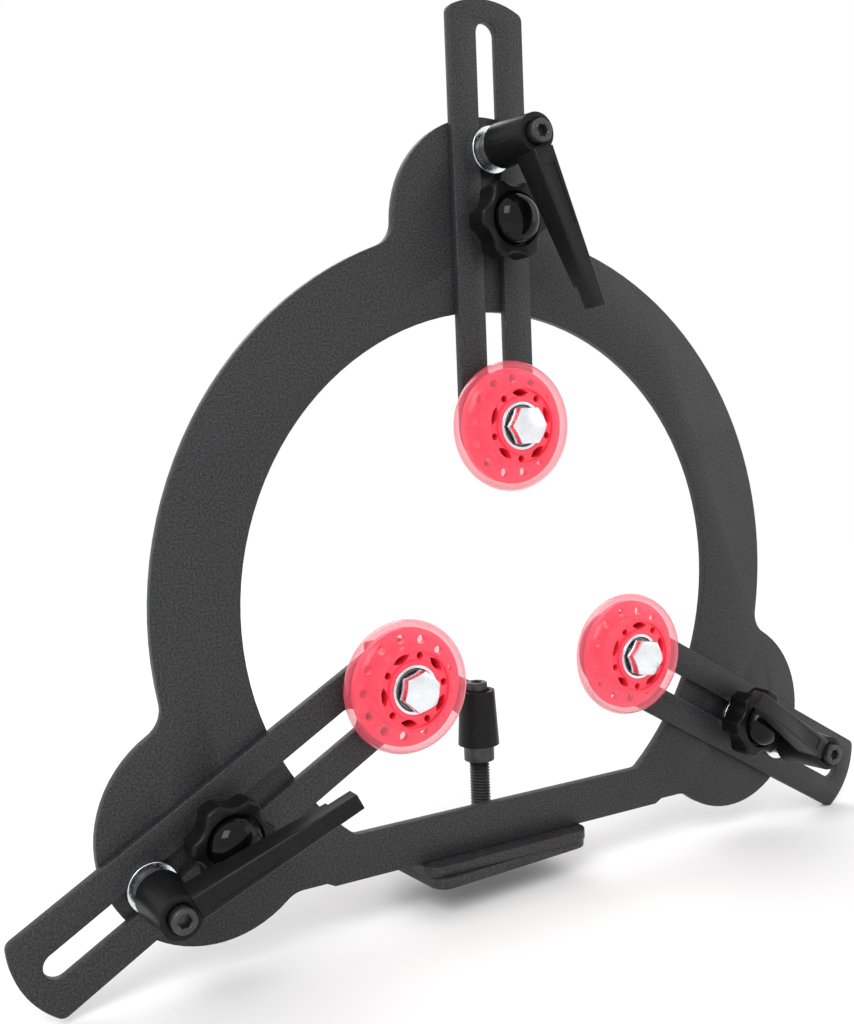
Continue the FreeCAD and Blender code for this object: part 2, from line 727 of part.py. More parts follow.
hub_base = sizes.sleeve_height
hub_top = hub_base + sizes.hub_height
web_base = hub_base + sizes.boss_height + sizes.hub_clearance
screw_seat = hub_top + sizes.screw_rise - sizes.screw_head_height
lever_web = screw_seat - sizes.lift_travel - sizes.spring_height - sizes.hub_clearance


def make_lever_sleeve(label, stud_length):
    """Threaded stud, sleeve and boss of a ratchet lever. The sleeve's foot is at the origin."""
    thread = sizes.stud_diameter / 2
    sleeve = sizes.sleeve_diameter / 2
    boss = sizes.boss_diameter / 2
    tap = sizes.screw_diameter / 2 + sizes.axle_clearance
    top = hub_base + sizes.boss_height
    bottom = hub_base - sizes.sleeve_height / 2
    chamfer = sizes.tooth_depth
    body = turned(label, [(0, stud_length), (thread - chamfer, stud_length),
                          (thread, stud_length - chamfer), (thread, 0), (sleeve - chamfer, 0),
                          (sleeve, -chamfer), (sleeve, -hub_base), (boss, -hub_base), (boss, -top),
                          (tap, -top), (tap, -bottom), (0, -bottom)])
    tooth = new_sketch(body, label + "Tooth", "XZ_Plane", hub_base)
    half_base = (boss * 2 * math.pi) / (LEVER_TEETH * 3)
    depth = sizes.tooth_depth
    add_outline(tooth, [(-half_base, boss - depth / 2), (half_base, boss - depth / 2),
                        (half_base / 2, boss + depth), (-half_base / 2, boss + depth)])
    tooth_pad = pad(body, tooth, sizes.tooth_height)
    repeat_round(body, tooth_pad, tooth, LEVER_TEETH)
    return body


def make_lever_handle(label):
    """Hub with its bores and teeth, and the tapered handle that rises from it along +Z."""
    base = sizes.hub_base_diameter / 2
    top = sizes.hub_top_diameter / 2
    clearance = sizes.hub_clearance
    bore = sizes.boss_diameter / 2 + clearance
    neck = sizes.screw_diameter / 2 + clearance
    spring_bore = sizes.screw_head_diameter / 2 + clearance
    recess = spring_bore + sizes.hub_recess
    toothed = sizes.tooth_height + clearance
    tooth_bore = bore + sizes.tooth_depth
    body = turned(label, [(tooth_bore, -hub_base), (base, -hub_base), (top, -hub_top), (recess, -hub_top),
                          (recess, sizes.hub_recess - hub_top), (spring_bore, sizes.hub_recess - hub_top),
                          (spring_bore, -lever_web), (neck, -lever_web), (neck, -web_base),
                          (bore, -web_base), (bore, -(hub_base + toothed)),
                          (tooth_bore, -(hub_base + toothed))])

    rib = new_sketch(body, label + "HubTooth", "XZ_Plane", hub_base)
    gap = clearance
    boss = sizes.boss_diameter / 2
    half_base = (boss * 2 * math.pi) / (LEVER_TEETH * 12)
    angle = math.pi / LEVER_TEETH
    across = FreeCAD.Vector(math.cos(angle), -math.sin(angle), 0)
    outwards = FreeCAD.Vector(math.sin(angle), math.cos(angle), 0)

    def turned_point(sideways, radial):
        return (sideways * across.x + radial * outwards.x, sideways * across.y + radial * outwards.y)

    add_outline(rib, [turned_point(-half_base, boss + gap), turned_point(half_base, boss + gap),
                      turned_point(half_base * 2, tooth_bore + gap),
                      turned_point(-half_base * 2, tooth_bore + gap)])
    rib_pad = pad(body, rib, toothed)
    repeat_round(body, rib_pad, rib, LEVER_TEETH)

    sections = []
    start = recess + clearance
    slope = sizes.handle_rise / sizes.handle_length
    root_crest = hub_top + sizes.handle_root_rise
    bevel = sizes.handle_bevel
    for name, out, width, depth in (
            ("Root", start, sizes.handle_root_width, sizes.handle_root_depth),
            ("Tip", sizes.handle_length, sizes.handle_tip_width, sizes.handle_tip_depth)):
        section = new_sketch(body, label + name, "XY_Plane", out)
        crest = root_crest + slope * out
        add_outline(section, [(-width / 2, -(crest - depth)), (width / 2, -(crest - depth)),
                              (width / 2, bevel - crest), (width / 2 - bevel, -crest),
                              (bevel - width / 2, -crest), (-width / 2, bevel - crest)])
        sections.append(section)
    handle = body.newObject("PartDesign::AdditiveLoft", label + "Bar")
    handle.Profile = sections[0]
    handle.Sections = sections[1:]
    handle.Ruled = True
    body.Tip = handle

    heel = new_sketch(body, label + "Heel", "YZ_Plane")
    tip_crest = root_crest + sizes.handle_rise
    beyond = sizes.handle_length + sizes.heel_step
    underside = tip_crest - sizes.handle_tip_depth
    heel_start = sizes.handle_length - sizes.heel_length
    add_outline(heel, [(-(underside + sizes.heel_step), beyond),
                       (-(underside + sizes.heel_step - slope * sizes.heel_length), heel_start),
                       (-(underside - sizes.handle_tip_depth), heel_start),
                       (-(underside - sizes.handle_tip_depth), beyond)])
    cut(body, heel)

    panels = []
    for name, out in (("PanelStart", sizes.panel_start),
                      ("PanelEnd", sizes.panel_start + sizes.panel_length)):
        section = new_sketch(body, label + name, "XY_Plane", out)
        crest = root_crest + slope * out
        half = sizes.panel_width / 2
        add_rectangle(section, -half, -(crest + sizes.panel_depth), half, sizes.panel_depth - crest)
        panels.append(section)
    panel = body.newObject("PartDesign::SubtractiveLoft", label + "Panel")
    panel.Profile = panels[0]
    panel.Sections = panels[1:]
    panel.Ruled = True
    body.Tip = panel
    return body


def make_lever_screw(label):
    """Socket screw that holds the handle and its spring on the sleeve."""
    head = sizes.screw_head_diameter / 2
    shank = sizes.screw_diameter / 2
    seat = screw_seat
    end = hub_base - sizes.sleeve_height / 2 + sizes.hub_clearance
    body = turned(label, [(0, -end), (shank, -end), (shank, -seat), (head, -seat),
                          (head, -(seat + sizes.screw_head_height)), (0, -(seat + sizes.screw_head_height))])
    socket = new_sketch(body, label + "Socket", "XZ_Plane", seat + sizes.screw_head_height)
    radius = sizes.screw_socket / math.sqrt(3)
    add_outline(socket, [(radius * math.cos(corner * math.pi / 3), radius * math.sin(corner * math.pi / 3))
                         for corner in range(6)])
    cut(body, socket, sizes.socket_depth)
    return body


def make_lever(label, stud_length, put):
    """The four pieces of a ratchet lever. put(piece) gives each its place."""
    sleeve = make_lever_sleeve(label + "_sleeve", stud_length)
    handle = make_lever_handle(label + "_handle")
    screw = make_lever_screw(label + "_screw")
    spring = tube(label + "_spring", sizes.screw_diameter / 2 + sizes.hub_clearance,
                  sizes.screw_head_diameter / 2, -screw_seat, sizes.spring_height - screw_seat)
    for piece in (sleeve, handle, screw, spring):
        put(piece)


def make_bed_lever():
    """Upright lever behind the ring, whose stud screws into the clamp plate under the bed."""
    def put(piece):
        upright = FreeCAD.Rotation(FreeCAD.Vector(1, 0, 0), -90)
        heading = FreeCAD.Rotation(FreeCAD.Vector(0, 0, 1), BED_LEVER_HEADING)
        piece.Placement = FreeCAD.Placement(FreeCAD.Vector(), heading.multiply(upright))
        bind(piece, "Placement.Base.x", sizes.foot_shift)
        bind(piece, "Placement.Base.y", bed_stud_y)
        bind(piece, "Placement.Base.z", sizes.foot_thickness + sizes.bed_stud_rise)

    make_lever("bed_lever", sizes.bed_stud_rise + sizes.foot_thickness + sizes.clamp_thickness, put)


clamp_seat = sizes.arm_thickness + sizes.washer_thickness
clamp_stud = clamp_seat + sizes.plate_thickness + sizes.nut_height


# ---------------------------------------------------------------- knobs, nuts and washers

def make_knob(station):
    """Star knob with its stud and its domed cap."""
    name = station.name
    radius = sizes.knob_diameter / 2
    neck = sizes.knob_neck_height
    face = neck + sizes.knob_height
    knob = new_body(name + "_knob")
    star = new_sketch(knob, name + "KnobStar", "XZ_Plane", neck)
    add_circle(star, 0, 0, radius)
    pad(knob, star, sizes.knob_height)
    hollow = new_sketch(knob, name + "KnobHollow")
    hollow_centre = radius - sizes.knob_hollow_depth + sizes.knob_hollow_radius
    add_circle(hollow, 0, hollow_centre, sizes.knob_hollow_radius)
    repeat_round(knob, cut(knob, hollow), hollow, KNOB_POINTS)

    def star_rim(edge):
        middle = edge.CenterOfMass
        flat = abs(middle.y + neck.value) < 0.01 or abs(middle.y + face.value) < 0.01
        return flat and edge.Curve.TypeId == "Part::GeomCircle"

    round_edges(knob, star_rim, sizes.knob_edge, "PartDesign::Chamfer")
    foot = new_sketch(knob, name + "KnobNeck")
    add_circle(foot, 0, 0, sizes.knob_neck_diameter / 2)
    pad(knob, foot, neck + sizes.knob_edge)
    seat = new_sketch(knob, name + "KnobSeat", "XZ_Plane", face)
    add_circle(seat, 0, 0, sizes.cap_diameter / 2 + sizes.cap_groove)
    cut(knob, seat, sizes.cap_seat)
    bore = new_sketch(knob, name + "KnobBore")
    add_circle(bore, 0, 0, sizes.stud_diameter / 2 + sizes.axle_clearance)
    cut(knob, bore, neck + sizes.knob_height / 2, backwards=True)
    place(knob, station, sizes.ring_outer_radius, clamp_seat)

    dome = sizes.cap_diameter / 2
    floor = face - sizes.cap_seat
    shell = []
    for step in range(CAP_FLATS):
        angle = math.radians(90 * step / CAP_FLATS)
        shell.append((dome * math.cos(angle), -(face + sizes.cap_rise * math.sin(angle))))
    cap = turned(name + "_knob_cap", [(0, -floor), (dome, -floor)] + shell + [(0, -(face + sizes.cap_rise))])
    place(cap, station, sizes.ring_outer_radius, clamp_seat)

    thread = sizes.stud_diameter / 2
    inner_end = neck + sizes.knob_height / 2
    stud = turned(name + "_knob_stud", [(0, clamp_stud), (thread, clamp_stud), (thread, -inner_end),
                                        (0, -inner_end)])
    place(stud, station, sizes.ring_outer_radius, clamp_seat)


def clamp_places():
    """Where the studs of the levers and knobs stand, outwards from the ring's axis."""
    return (("Knob", sizes.ring_outer_radius), ("Lever", sizes.ring_outer_radius + sizes.lever_offset))


def ring_piece(name, outer, inner, height, forward):
    """A drilled disc along -Y."""
    blank = cylinder(name + "Disc", outer, height, forward)
    hole = cylinder(name + "Hole", inner, height, forward)
    return boolean("Cut", name, blank, hole)


def make_clamp_hardware():
    """Washers on the arms under the levers and knobs, and the nuts welded behind the ring."""
    washers = []
    nuts = []
    bore = sizes.stud_diameter / 2 + sizes.thread_clearance
    for station in STATIONS:
        for kind, along in clamp_places():
            name = station.name + kind
            washer = ring_piece(name + "Washer", sizes.washer_diameter / 2, bore + sizes.thread_clearance,
                                sizes.washer_thickness, 0)
            place(washer, station, along, sizes.arm_thickness)
            washers.append(washer)
            blank = hexagon_prism(name + "NutBlank", sizes.across_flats, sizes.nut_height, 0)
            thread = cylinder(name + "NutThread", bore, sizes.nut_height, 0)
            nut = boolean("Cut", name + "Nut", blank, thread)
            place(nut, station, along, -(sizes.plate_thickness + sizes.nut_height))
            nuts.append(nut)
    for label, pieces in (("slot_washers", washers), ("weld_nuts", nuts)):
        group = doc.addObject("Part::Compound", label)
        group.Label = label
        group.Links = pieces


# ---------------------------------------------------------------- the whole steady rest

def make_all():
    make_ring_plate()
    make_foot()
    make_clamp_plate()
    make_bed_lever()
    make_clamp_hardware()
    for station in STATIONS:
        make_arm(station)
        make_axle(station)
        make_core(station)
        make_tyre(station)
        make_bearings(station)
        make_knob(station)

        def put(piece, at=station):
            place(piece, at, sizes.ring_outer_radius + sizes.lever_offset, clamp_seat, at.lever_turn)

        make_lever(station.name + "_lever", clamp_stud, put)


def part_names():
    """The labels of the sub-parts, in the order that they are written."""
    names = ["ring_plate", "foot_plate", "foot_weld", "clamp_plate", "slot_washers", "weld_nuts"]
    lever = ["lever_sleeve", "lever_handle", "lever_screw", "lever_spring"]
    names += ["bed_" + piece for piece in lever]
    own = ["arm", "axle_bolt", "axle_nut", "axle_washers", "axle_rings", "axle_tube", "wheel_core", "tyre",
           "bearings", "knob", "knob_cap", "knob_stud"]
    for station in STATIONS:
        names += ["%s_%s" % (station.name, piece) for piece in own + lever]
    return names


def write_parts():
    """Check every object and write each sub-part to its own STEP file."""
    for item in doc.Objects:
        if "Invalid" in item.State or "Error" in item.State:
            raise RuntimeError("%s (%s) failed: %s" % (item.Name, item.Label, item.State))
    os.makedirs("parts", exist_ok=True)
    for name in part_names():
        shape = doc.getObjectsByLabel(name)[0].Shape
        if shape.isNull() or not shape.isValid():
            raise RuntimeError("%s has no valid shape" % name)
        shape.exportStep("parts/%s.step" % name)
        print("%-20s %2d solid(s) %10.1f mm3" % (name, len(shape.Solids), shape.Volume))


make_all()
doc.recompute()
write_parts()
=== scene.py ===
"""Looks of the steady rest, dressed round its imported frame. Everything is in metres.

The object stands in the frame of its solids: +Z up, the ring's axis along Y, the rollers and levers
towards -Y. Each sub-assembly is a class that builds its meshes, gives them their finishes and lets
them ride on the bodies of the frame.
"""
import json
import logging
import math
from dataclasses import dataclass, field
from enum import Enum
from typing import Any, Callable, Sequence

import bmesh
import bpy
from mathutils import Matrix, Vector


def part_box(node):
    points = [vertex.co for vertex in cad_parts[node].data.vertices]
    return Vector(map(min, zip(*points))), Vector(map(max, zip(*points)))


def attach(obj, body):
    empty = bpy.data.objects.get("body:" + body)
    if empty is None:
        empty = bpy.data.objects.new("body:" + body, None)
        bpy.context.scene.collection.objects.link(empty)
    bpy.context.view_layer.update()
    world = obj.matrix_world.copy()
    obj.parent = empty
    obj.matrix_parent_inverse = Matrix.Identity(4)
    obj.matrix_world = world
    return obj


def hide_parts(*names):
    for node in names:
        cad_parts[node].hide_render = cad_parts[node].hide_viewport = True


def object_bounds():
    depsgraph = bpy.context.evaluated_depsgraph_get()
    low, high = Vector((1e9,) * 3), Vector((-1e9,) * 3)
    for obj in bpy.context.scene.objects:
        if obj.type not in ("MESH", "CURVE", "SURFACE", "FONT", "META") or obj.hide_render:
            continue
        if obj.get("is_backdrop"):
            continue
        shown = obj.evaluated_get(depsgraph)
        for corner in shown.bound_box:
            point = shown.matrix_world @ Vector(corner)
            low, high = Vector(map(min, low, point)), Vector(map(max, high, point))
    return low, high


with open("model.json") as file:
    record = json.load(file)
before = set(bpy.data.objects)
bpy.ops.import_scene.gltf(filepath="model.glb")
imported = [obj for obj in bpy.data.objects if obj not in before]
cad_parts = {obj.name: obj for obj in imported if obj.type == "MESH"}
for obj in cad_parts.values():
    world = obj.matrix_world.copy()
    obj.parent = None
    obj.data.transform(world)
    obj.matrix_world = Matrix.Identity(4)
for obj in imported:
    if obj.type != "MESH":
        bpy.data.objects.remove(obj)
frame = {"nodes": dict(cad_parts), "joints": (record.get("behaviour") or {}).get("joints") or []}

MM = 0.001
ON_AXIS = 1e-9                        # radius under which a profile point counts as on the axis
SAME_POINT = 1e-7                     # distance under which points of a built mesh are merged
SHARP_ANGLE = math.radians(35)        # edges sharper than this stay sharp in the shading
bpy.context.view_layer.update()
JOINTS = {joint["name"]: joint for joint in frame["joints"]}
log = logging.getLogger("steady_rest")

Profile = list[tuple[float, float]]
FORWARD = Vector((0, -1, 0))
UPWARD = Vector((0, 0, 1))


# ---------------------------------------------------------------- meshes

def seat(origin: Sequence[float], axis: Vector, heading: Vector) -> Matrix:
    """Place for a piece made round its own Z axis.

    Args:
        origin: point of the frame where the piece's own origin goes.
        axis: direction of the frame along the piece's Z axis.
        heading: direction of the frame along the piece's Y axis.

    Returns:
        The matrix that takes the piece to its place.
    """
    sideways = heading.cross(axis)
    turn = Matrix((sideways, heading, axis)).transposed()
    return Matrix.Translation(Vector(origin)) @ turn.to_4x4()


def turned_heading(degrees: float) -> Vector:
    """Direction in the ring's plane at an angle from straight up, clockwise from the front."""
    angle = math.radians(degrees)
    return Vector((math.sin(angle), 0, math.cos(angle)))


def eased(profile: Profile, radius: float, closed: bool = True, steps: int = 3) -> Profile:
    """Round the corners of a profile.

    Args:
        profile: corners as (radius from the axis, place along the axis).
        radius: rounding of every corner, less where a side is short.
        closed: whether the last corner joins the first.
        steps: sides that stand for each rounding.

    Returns:
        The profile with its corners rounded.
    """
    count = len(profile)
    longest_share = 0.45
    result: Profile = []
    for index, corner in enumerate(profile):
        at = Vector(corner)
        on_axis = at.x < ON_AXIS
        if on_axis or (not closed and index in (0, count - 1)):
            result.append(corner)
            continue
        before = Vector(profile[index - 1]) - at
        after = Vector(profile[(index + 1) % count]) - at
        reach = min(radius, before.length * longest_share, after.length * longest_share)
        start = at + before.normalized() * reach
        end = at + after.normalized() * reach
        for step in range(steps + 1):
            share = step / steps
            point = start * (1 - share) ** 2 + at * (2 * share * (1 - share)) + end * share ** 2
            result.append((point.x, point.y))
    return result


def arc_profile(start: tuple[float, float], end: tuple[float, float], rise: float, steps: int) -> Profile:
    """Points on an arc between two profile points that bulges to the left of its chord.

    Args:
        start: first point.
        end: last point.
        rise: height of the arc over its chord.
        steps: sides that stand for the arc.

    Returns:
        The points, both ends included.
    """
    first, last = Vector(start), Vector(end)
    chord = last - first
    across = Vector((-chord.y, chord.x)).normalized()
    radius = (chord.length ** 2 / 4 + rise ** 2) / (2 * rise)
    centre = (first + last) / 2 + across * (rise - radius)
    half = math.asin(min(1.0, chord.length / 2 / radius))
    if rise > radius:
        half = math.pi - half
    points: Profile = []
    for step in range(steps + 1):
        angle = half - 2 * half * step / steps
        spot = centre + across * (radius * math.cos(angle)) - chord.normalized() * (radius * math.sin(angle))
        points.append((spot.x, spot.y))
    return points


def turned_mesh(name: str, profile: Profile, closed: bool = True, sides: int = 96) -> bpy.types.Mesh:
    """Turn a profile round Z.

    Args:
        name: name of the mesh.
        profile: points as (radius from the axis, place along the axis).
        closed: whether the last point joins the first, as round a ring.
        sides: sides that stand for the circle.

    Returns:
        A closed mesh with its faces outwards.
    """
    grid = bmesh.new()
    rings = []
    for radius, height in profile:
        if radius < ON_AXIS:
            rings.append([grid.verts.new((0, 0, height))])
            continue
        rings.append([grid.verts.new((radius * math.cos(math.tau * side / sides),
                                      radius * math.sin(math.tau * side / sides), height))
                      for side in range(sides)])
    pairs = list(zip(rings, rings[1:]))
    if closed and len(rings[0]) > 1 and len(rings[-1]) > 1:
        pairs.append((rings[-1], rings[0]))
    for lower, upper in pairs:
        for side in range(sides):
            after = (side + 1) % sides
            corners = [lower[side % len(lower)], lower[after % len(lower)],
                       upper[after % len(upper)], upper[side % len(upper)]]
            unique = list(dict.fromkeys(corners))
            if len(unique) > 2:
                grid.faces.new(unique)
    return closed_mesh(grid, name)


def closed_mesh(grid: bmesh.types.BMesh, name: str) -> bpy.types.Mesh:
    """Turn a finished bmesh into a mesh with merged points and outward faces."""
    bmesh.ops.remove_doubles(grid, verts=grid.verts, dist=SAME_POINT)
    bmesh.ops.recalc_face_normals(grid, faces=grid.faces)
    mesh = bpy.data.meshes.new(name)
    grid.to_mesh(mesh)
    grid.free()
    return mesh


def joined_mesh(name: str, parts: Sequence[tuple[bpy.types.Mesh, Matrix]]) -> bpy.types.Mesh:
    """Join meshes, each moved to its place, into one."""
    grid = bmesh.new()
    for mesh, place in parts:
        placed = mesh.copy()
        placed.transform(place)
        grid.from_mesh(placed)
        bpy.data.meshes.remove(placed)
    mesh = bpy.data.meshes.new(name)
    grid.to_mesh(mesh)
    grid.free()
    return mesh


def polar_mesh(name: str, layers: Sequence[tuple[Callable[[float], float], Callable[[float], float]]],
               sides: int, hollow: bool = False) -> bpy.types.Mesh:
    """Skin a stack of closed outlines given by their radius and height at each angle.

    Args:
        name: name of the mesh.
        layers: (radius of the angle, height of the angle) from one end of the skin to the other.
        sides: points of each outline.
        hollow: whether the last outline joins the first, instead of both ends being closed.

    Returns:
        A closed mesh with its faces outwards.
    """
    grid = bmesh.new()
    rings = []
    for radius_at, height_at in layers:
        ring = []
        for side in range(sides):
            angle = math.tau * side / sides
            radius = radius_at(angle)
            spot = (radius * math.cos(angle), radius * math.sin(angle), height_at(angle))
            ring.append(grid.verts.new(spot))
        rings.append(ring)
    pairs = list(zip(rings, rings[1:]))
    if hollow:
        pairs.append((rings[-1], rings[0]))
    for lower, upper in pairs:
        for side in range(sides):
            after = (side + 1) % sides
            grid.faces.new((lower[side], lower[after], upper[after], upper[side]))
    if not hollow:
        grid.faces.new(rings[0])
        grid.faces.new(rings[-1])
    return closed_mesh(grid, name)


def softened_copy(node: str, width: float, segments: int = 2) -> bpy.types.Mesh:
    """Copy a solid of the frame and ease its sharp edges.

    Args:
        node: name of the solid.
        width: width of the eased edges.
        segments: sides across each eased edge.

    Returns:
        The copy, with whole flat faces and rounded edges.
    """
    seam = 0.002 * MM
    flat_angle = math.radians(0.6)
    edge_angle = math.radians(32)
    grid = bmesh.new()
    grid.from_mesh(frame["nodes"][node].data)
    bmesh.ops.remove_doubles(grid, verts=grid.verts, dist=seam)
    bmesh.ops.dissolve_limit(grid, angle_limit=flat_angle, verts=grid.verts, edges=grid.edges)
    mesh = bpy.data.meshes.new(node + "_copy")
    grid.to_mesh(mesh)
    grid.free()
    holder = bpy.data.objects.new(node + "_copy", mesh)
    bpy.context.scene.collection.objects.link(holder)
    bevel = holder.modifiers.new("eased_edges", "BEVEL")
    bevel.width = width
    bevel.segments = segments
    bevel.limit_method = "ANGLE"
    bevel.angle_limit = edge_angle
    return settled_mesh(holder)


def settled_mesh(holder: bpy.types.Object) -> bpy.types.Mesh:
    """Turn an object and its modifiers into a plain mesh, and remove the object."""
    graph = bpy.context.evaluated_depsgraph_get()
    mesh = bpy.data.meshes.new_from_object(holder.evaluated_get(graph), depsgraph=graph)
    bpy.data.objects.remove(holder)
    return mesh


# ---------------------------------------------------------------- node trees

class Tree:
    """A short way to write a node tree: nodes are added with their settings and plugged together."""

    def __init__(self, tree: bpy.types.NodeTree) -> None:
        """Start on an empty tree."""
        self.tree = tree

    def node(self, kind: str, inputs: dict[Any, Any] | None = None, **settings: Any) -> bpy.types.Node:
        """Add a node.

        Args:
            kind: Blender's name for the node type.
            inputs: a value, or another node's output, for each input by name or number.
            settings: the node's own settings.

        Returns:
            The new node.
        """
        made = self.tree.nodes.new(kind)
        for key, value in settings.items():
            setattr(made, key, value)
        for key, value in (inputs or {}).items():
            if isinstance(value, bpy.types.NodeSocket):
                self.tree.links.new(value, made.inputs[key])
            else:
                made.inputs[key].default_value = value
        return made


class WindowShape(Enum):
    """Shapes of the openings that are repeated round a disc."""

    LENS = "lens"
    ROUND = "round"


class GeometryRule(Tree):
    """A Geometry Nodes tree with named inputs, which ends in real geometry with its material set."""

    def __init__(self, name: str, inputs: dict[str, float | int]) -> None:
        """Start the tree and its group inputs.

        Args:
            name: name of the tree.
            inputs: the named sizes and counts, with their starting values.
        """
        super().__init__(bpy.data.node_groups.new(name, "GeometryNodeTree"))
        self.identifiers: dict[str, str] = {}
        for label, value in inputs.items():
            kind = "NodeSocketInt" if isinstance(value, int) else "NodeSocketFloat"
            socket = self.tree.interface.new_socket(label, in_out="INPUT", socket_type=kind)
            socket.default_value = value
            self.identifiers[label] = socket.identifier
        finish = self.tree.interface.new_socket("Finish", in_out="INPUT", socket_type="NodeSocketMaterial")
        self.identifiers["Finish"] = finish.identifier
        self.tree.interface.new_socket("Geometry", in_out="OUTPUT", socket_type="NodeSocketGeometry")
        self.given = self.node("NodeGroupInput")

    def math(self, operation: str, first: Any, second: Any = 0.0) -> bpy.types.NodeSocket:
        """Add a sum of two numbers or outputs and return its output."""
        return self.node("ShaderNodeMath", {0: first, 1: second}, operation=operation).outputs[0]

    def moved(self, geometry: bpy.types.NodeSocket, height: bpy.types.NodeSocket) -> bpy.types.NodeSocket:
        """Move geometry along Z."""
        shift = self.node("ShaderNodeCombineXYZ", {2: height})
        return self.node("GeometryNodeTransform",
                         {"Geometry": geometry, "Translation": shift.outputs[0]}).outputs[0]

    def opening(self, shape: WindowShape) -> bpy.types.NodeSocket:
        """Outline of one opening, its middle at the pitch circle's point."""
        given = self.given.outputs
        if shape is WindowShape.ROUND:
            circle = self.node("GeometryNodeCurvePrimitiveCircle",
                               {"Resolution": 24, "Radius": given["Round Radius"]})
            return circle.outputs[0]
        unit = self.node("GeometryNodeCurvePrimitiveCircle", {"Resolution": 32, "Radius": 1.0})
        where = self.node("ShaderNodeSeparateXYZ", {0: self.node("GeometryNodeInputPosition").outputs[0]})
        pinched = self.math("MULTIPLY", where.outputs[0], self.math("ABSOLUTE", where.outputs[0]))
        across = self.math("MULTIPLY", pinched, self.math("MULTIPLY", given["Lens Height"], 0.5))
        along = self.math("MULTIPLY", where.outputs[1], self.math("MULTIPLY", given["Lens Length"], 0.5))
        spot = self.node("ShaderNodeCombineXYZ", {0: across, 1: along})
        lens = self.node("GeometryNodeSetPosition",
                         {"Geometry": unit.outputs[0], "Position": spot.outputs[0]})
        return lens.outputs[0]

    def close(self, geometry: bpy.types.NodeSocket) -> None:
        """End the tree: real geometry, its finish, and the group output."""
        real = self.node("GeometryNodeRealizeInstances", {0: geometry})
        dressed = self.node("GeometryNodeSetMaterial",
                            {"Geometry": real.outputs[0], "Material": self.given.outputs["Finish"]})
        self.node("NodeGroupOutput", {0: dressed.outputs[0]})

    def mesh(self, name: str, finish: bpy.types.Material, **sizes: float | int) -> bpy.types.Mesh:
        """Run the tree with given sizes.

        Args:
            name: name of the mesh.
            finish: material of the result.
            sizes: value of each named input, with _ for a space.

        Returns:
            The result as a plain mesh.
        """
        holder = bpy.data.objects.new(name, bpy.data.meshes.new(name))
        bpy.context.scene.collection.objects.link(holder)
        rule = holder.modifiers.new("rule", "NODES")
        rule.node_group = self.tree
        for label, value in sizes.items():
            rule[self.identifiers[label.replace("_", " ")]] = value
        rule[self.identifiers["Finish"]] = finish
        made = settled_mesh(holder)
        made.name = name
        return made


def thread_rule() -> GeometryRule:
    """Screw thread: a ridge wound round a core along Z, from the origin up."""
    rule = GeometryRule("screw_thread", {"Radius": 5 * MM, "Pitch": 1.5 * MM, "Length": 20 * MM})
    radius, pitch, length = (rule.given.outputs[label] for label in ("Radius", "Pitch", "Length"))
    ridge_share = 0.52
    ridge = rule.math("MULTIPLY", pitch, ridge_share)
    line = rule.math("SUBTRACT", radius, ridge)
    run = rule.math("SUBTRACT", length, rule.math("MULTIPLY", ridge, 2.0))
    turns = rule.math("DIVIDE", run, pitch)
    coil = rule.node("GeometryNodeCurveSpiral", {"Resolution": 40, "Rotations": turns, "Start Radius": line,
                                                 "End Radius": line, "Height": run})
    upright = rule.node("GeometryNodeSetCurveNormal", {0: coil.outputs[0]}, mode="Z_UP")
    profile = rule.node("GeometryNodeCurvePrimitiveCircle", {"Resolution": 4, "Radius": ridge})
    wound = rule.node("GeometryNodeCurveToMesh", {"Curve": upright.outputs[0],
                                                  "Profile Curve": profile.outputs[0], "Fill Caps": True})
    core = rule.node("GeometryNodeMeshCylinder", {"Vertices": 40, "Radius": line, "Depth": length})
    both = rule.node("GeometryNodeJoinGeometry")
    for solid, height in ((wound, ridge), (core, rule.math("MULTIPLY", length, 0.5))):
        rule.tree.links.new(rule.moved(solid.outputs[0], height), both.inputs[0])
    rule.close(both.outputs[0])
    return rule


def spring_rule() -> GeometryRule:
    """Coil spring along Z, from the origin up."""
    rule = GeometryRule("coil_spring", {"Radius": 4 * MM, "Wire": 0.5 * MM, "Length": 2 * MM, "Turns": 3.0})
    radius, wire, length, turns = (
        rule.given.outputs[label] for label in ("Radius", "Wire", "Length", "Turns"))
    line = rule.math("SUBTRACT", radius, wire)
    run = rule.math("SUBTRACT", length, rule.math("MULTIPLY", wire, 2.0))
    coil = rule.node("GeometryNodeCurveSpiral", {"Resolution": 36, "Rotations": turns, "Start Radius": line,
                                                 "End Radius": line, "Height": run})
    section = rule.node("GeometryNodeCurvePrimitiveCircle", {"Resolution": 10, "Radius": wire})
    wound = rule.node("GeometryNodeCurveToMesh", {"Curve": coil.outputs[0],
                                                  "Profile Curve": section.outputs[0], "Fill Caps": True})
    rule.close(rule.moved(wound.outputs[0], wire))
    return rule


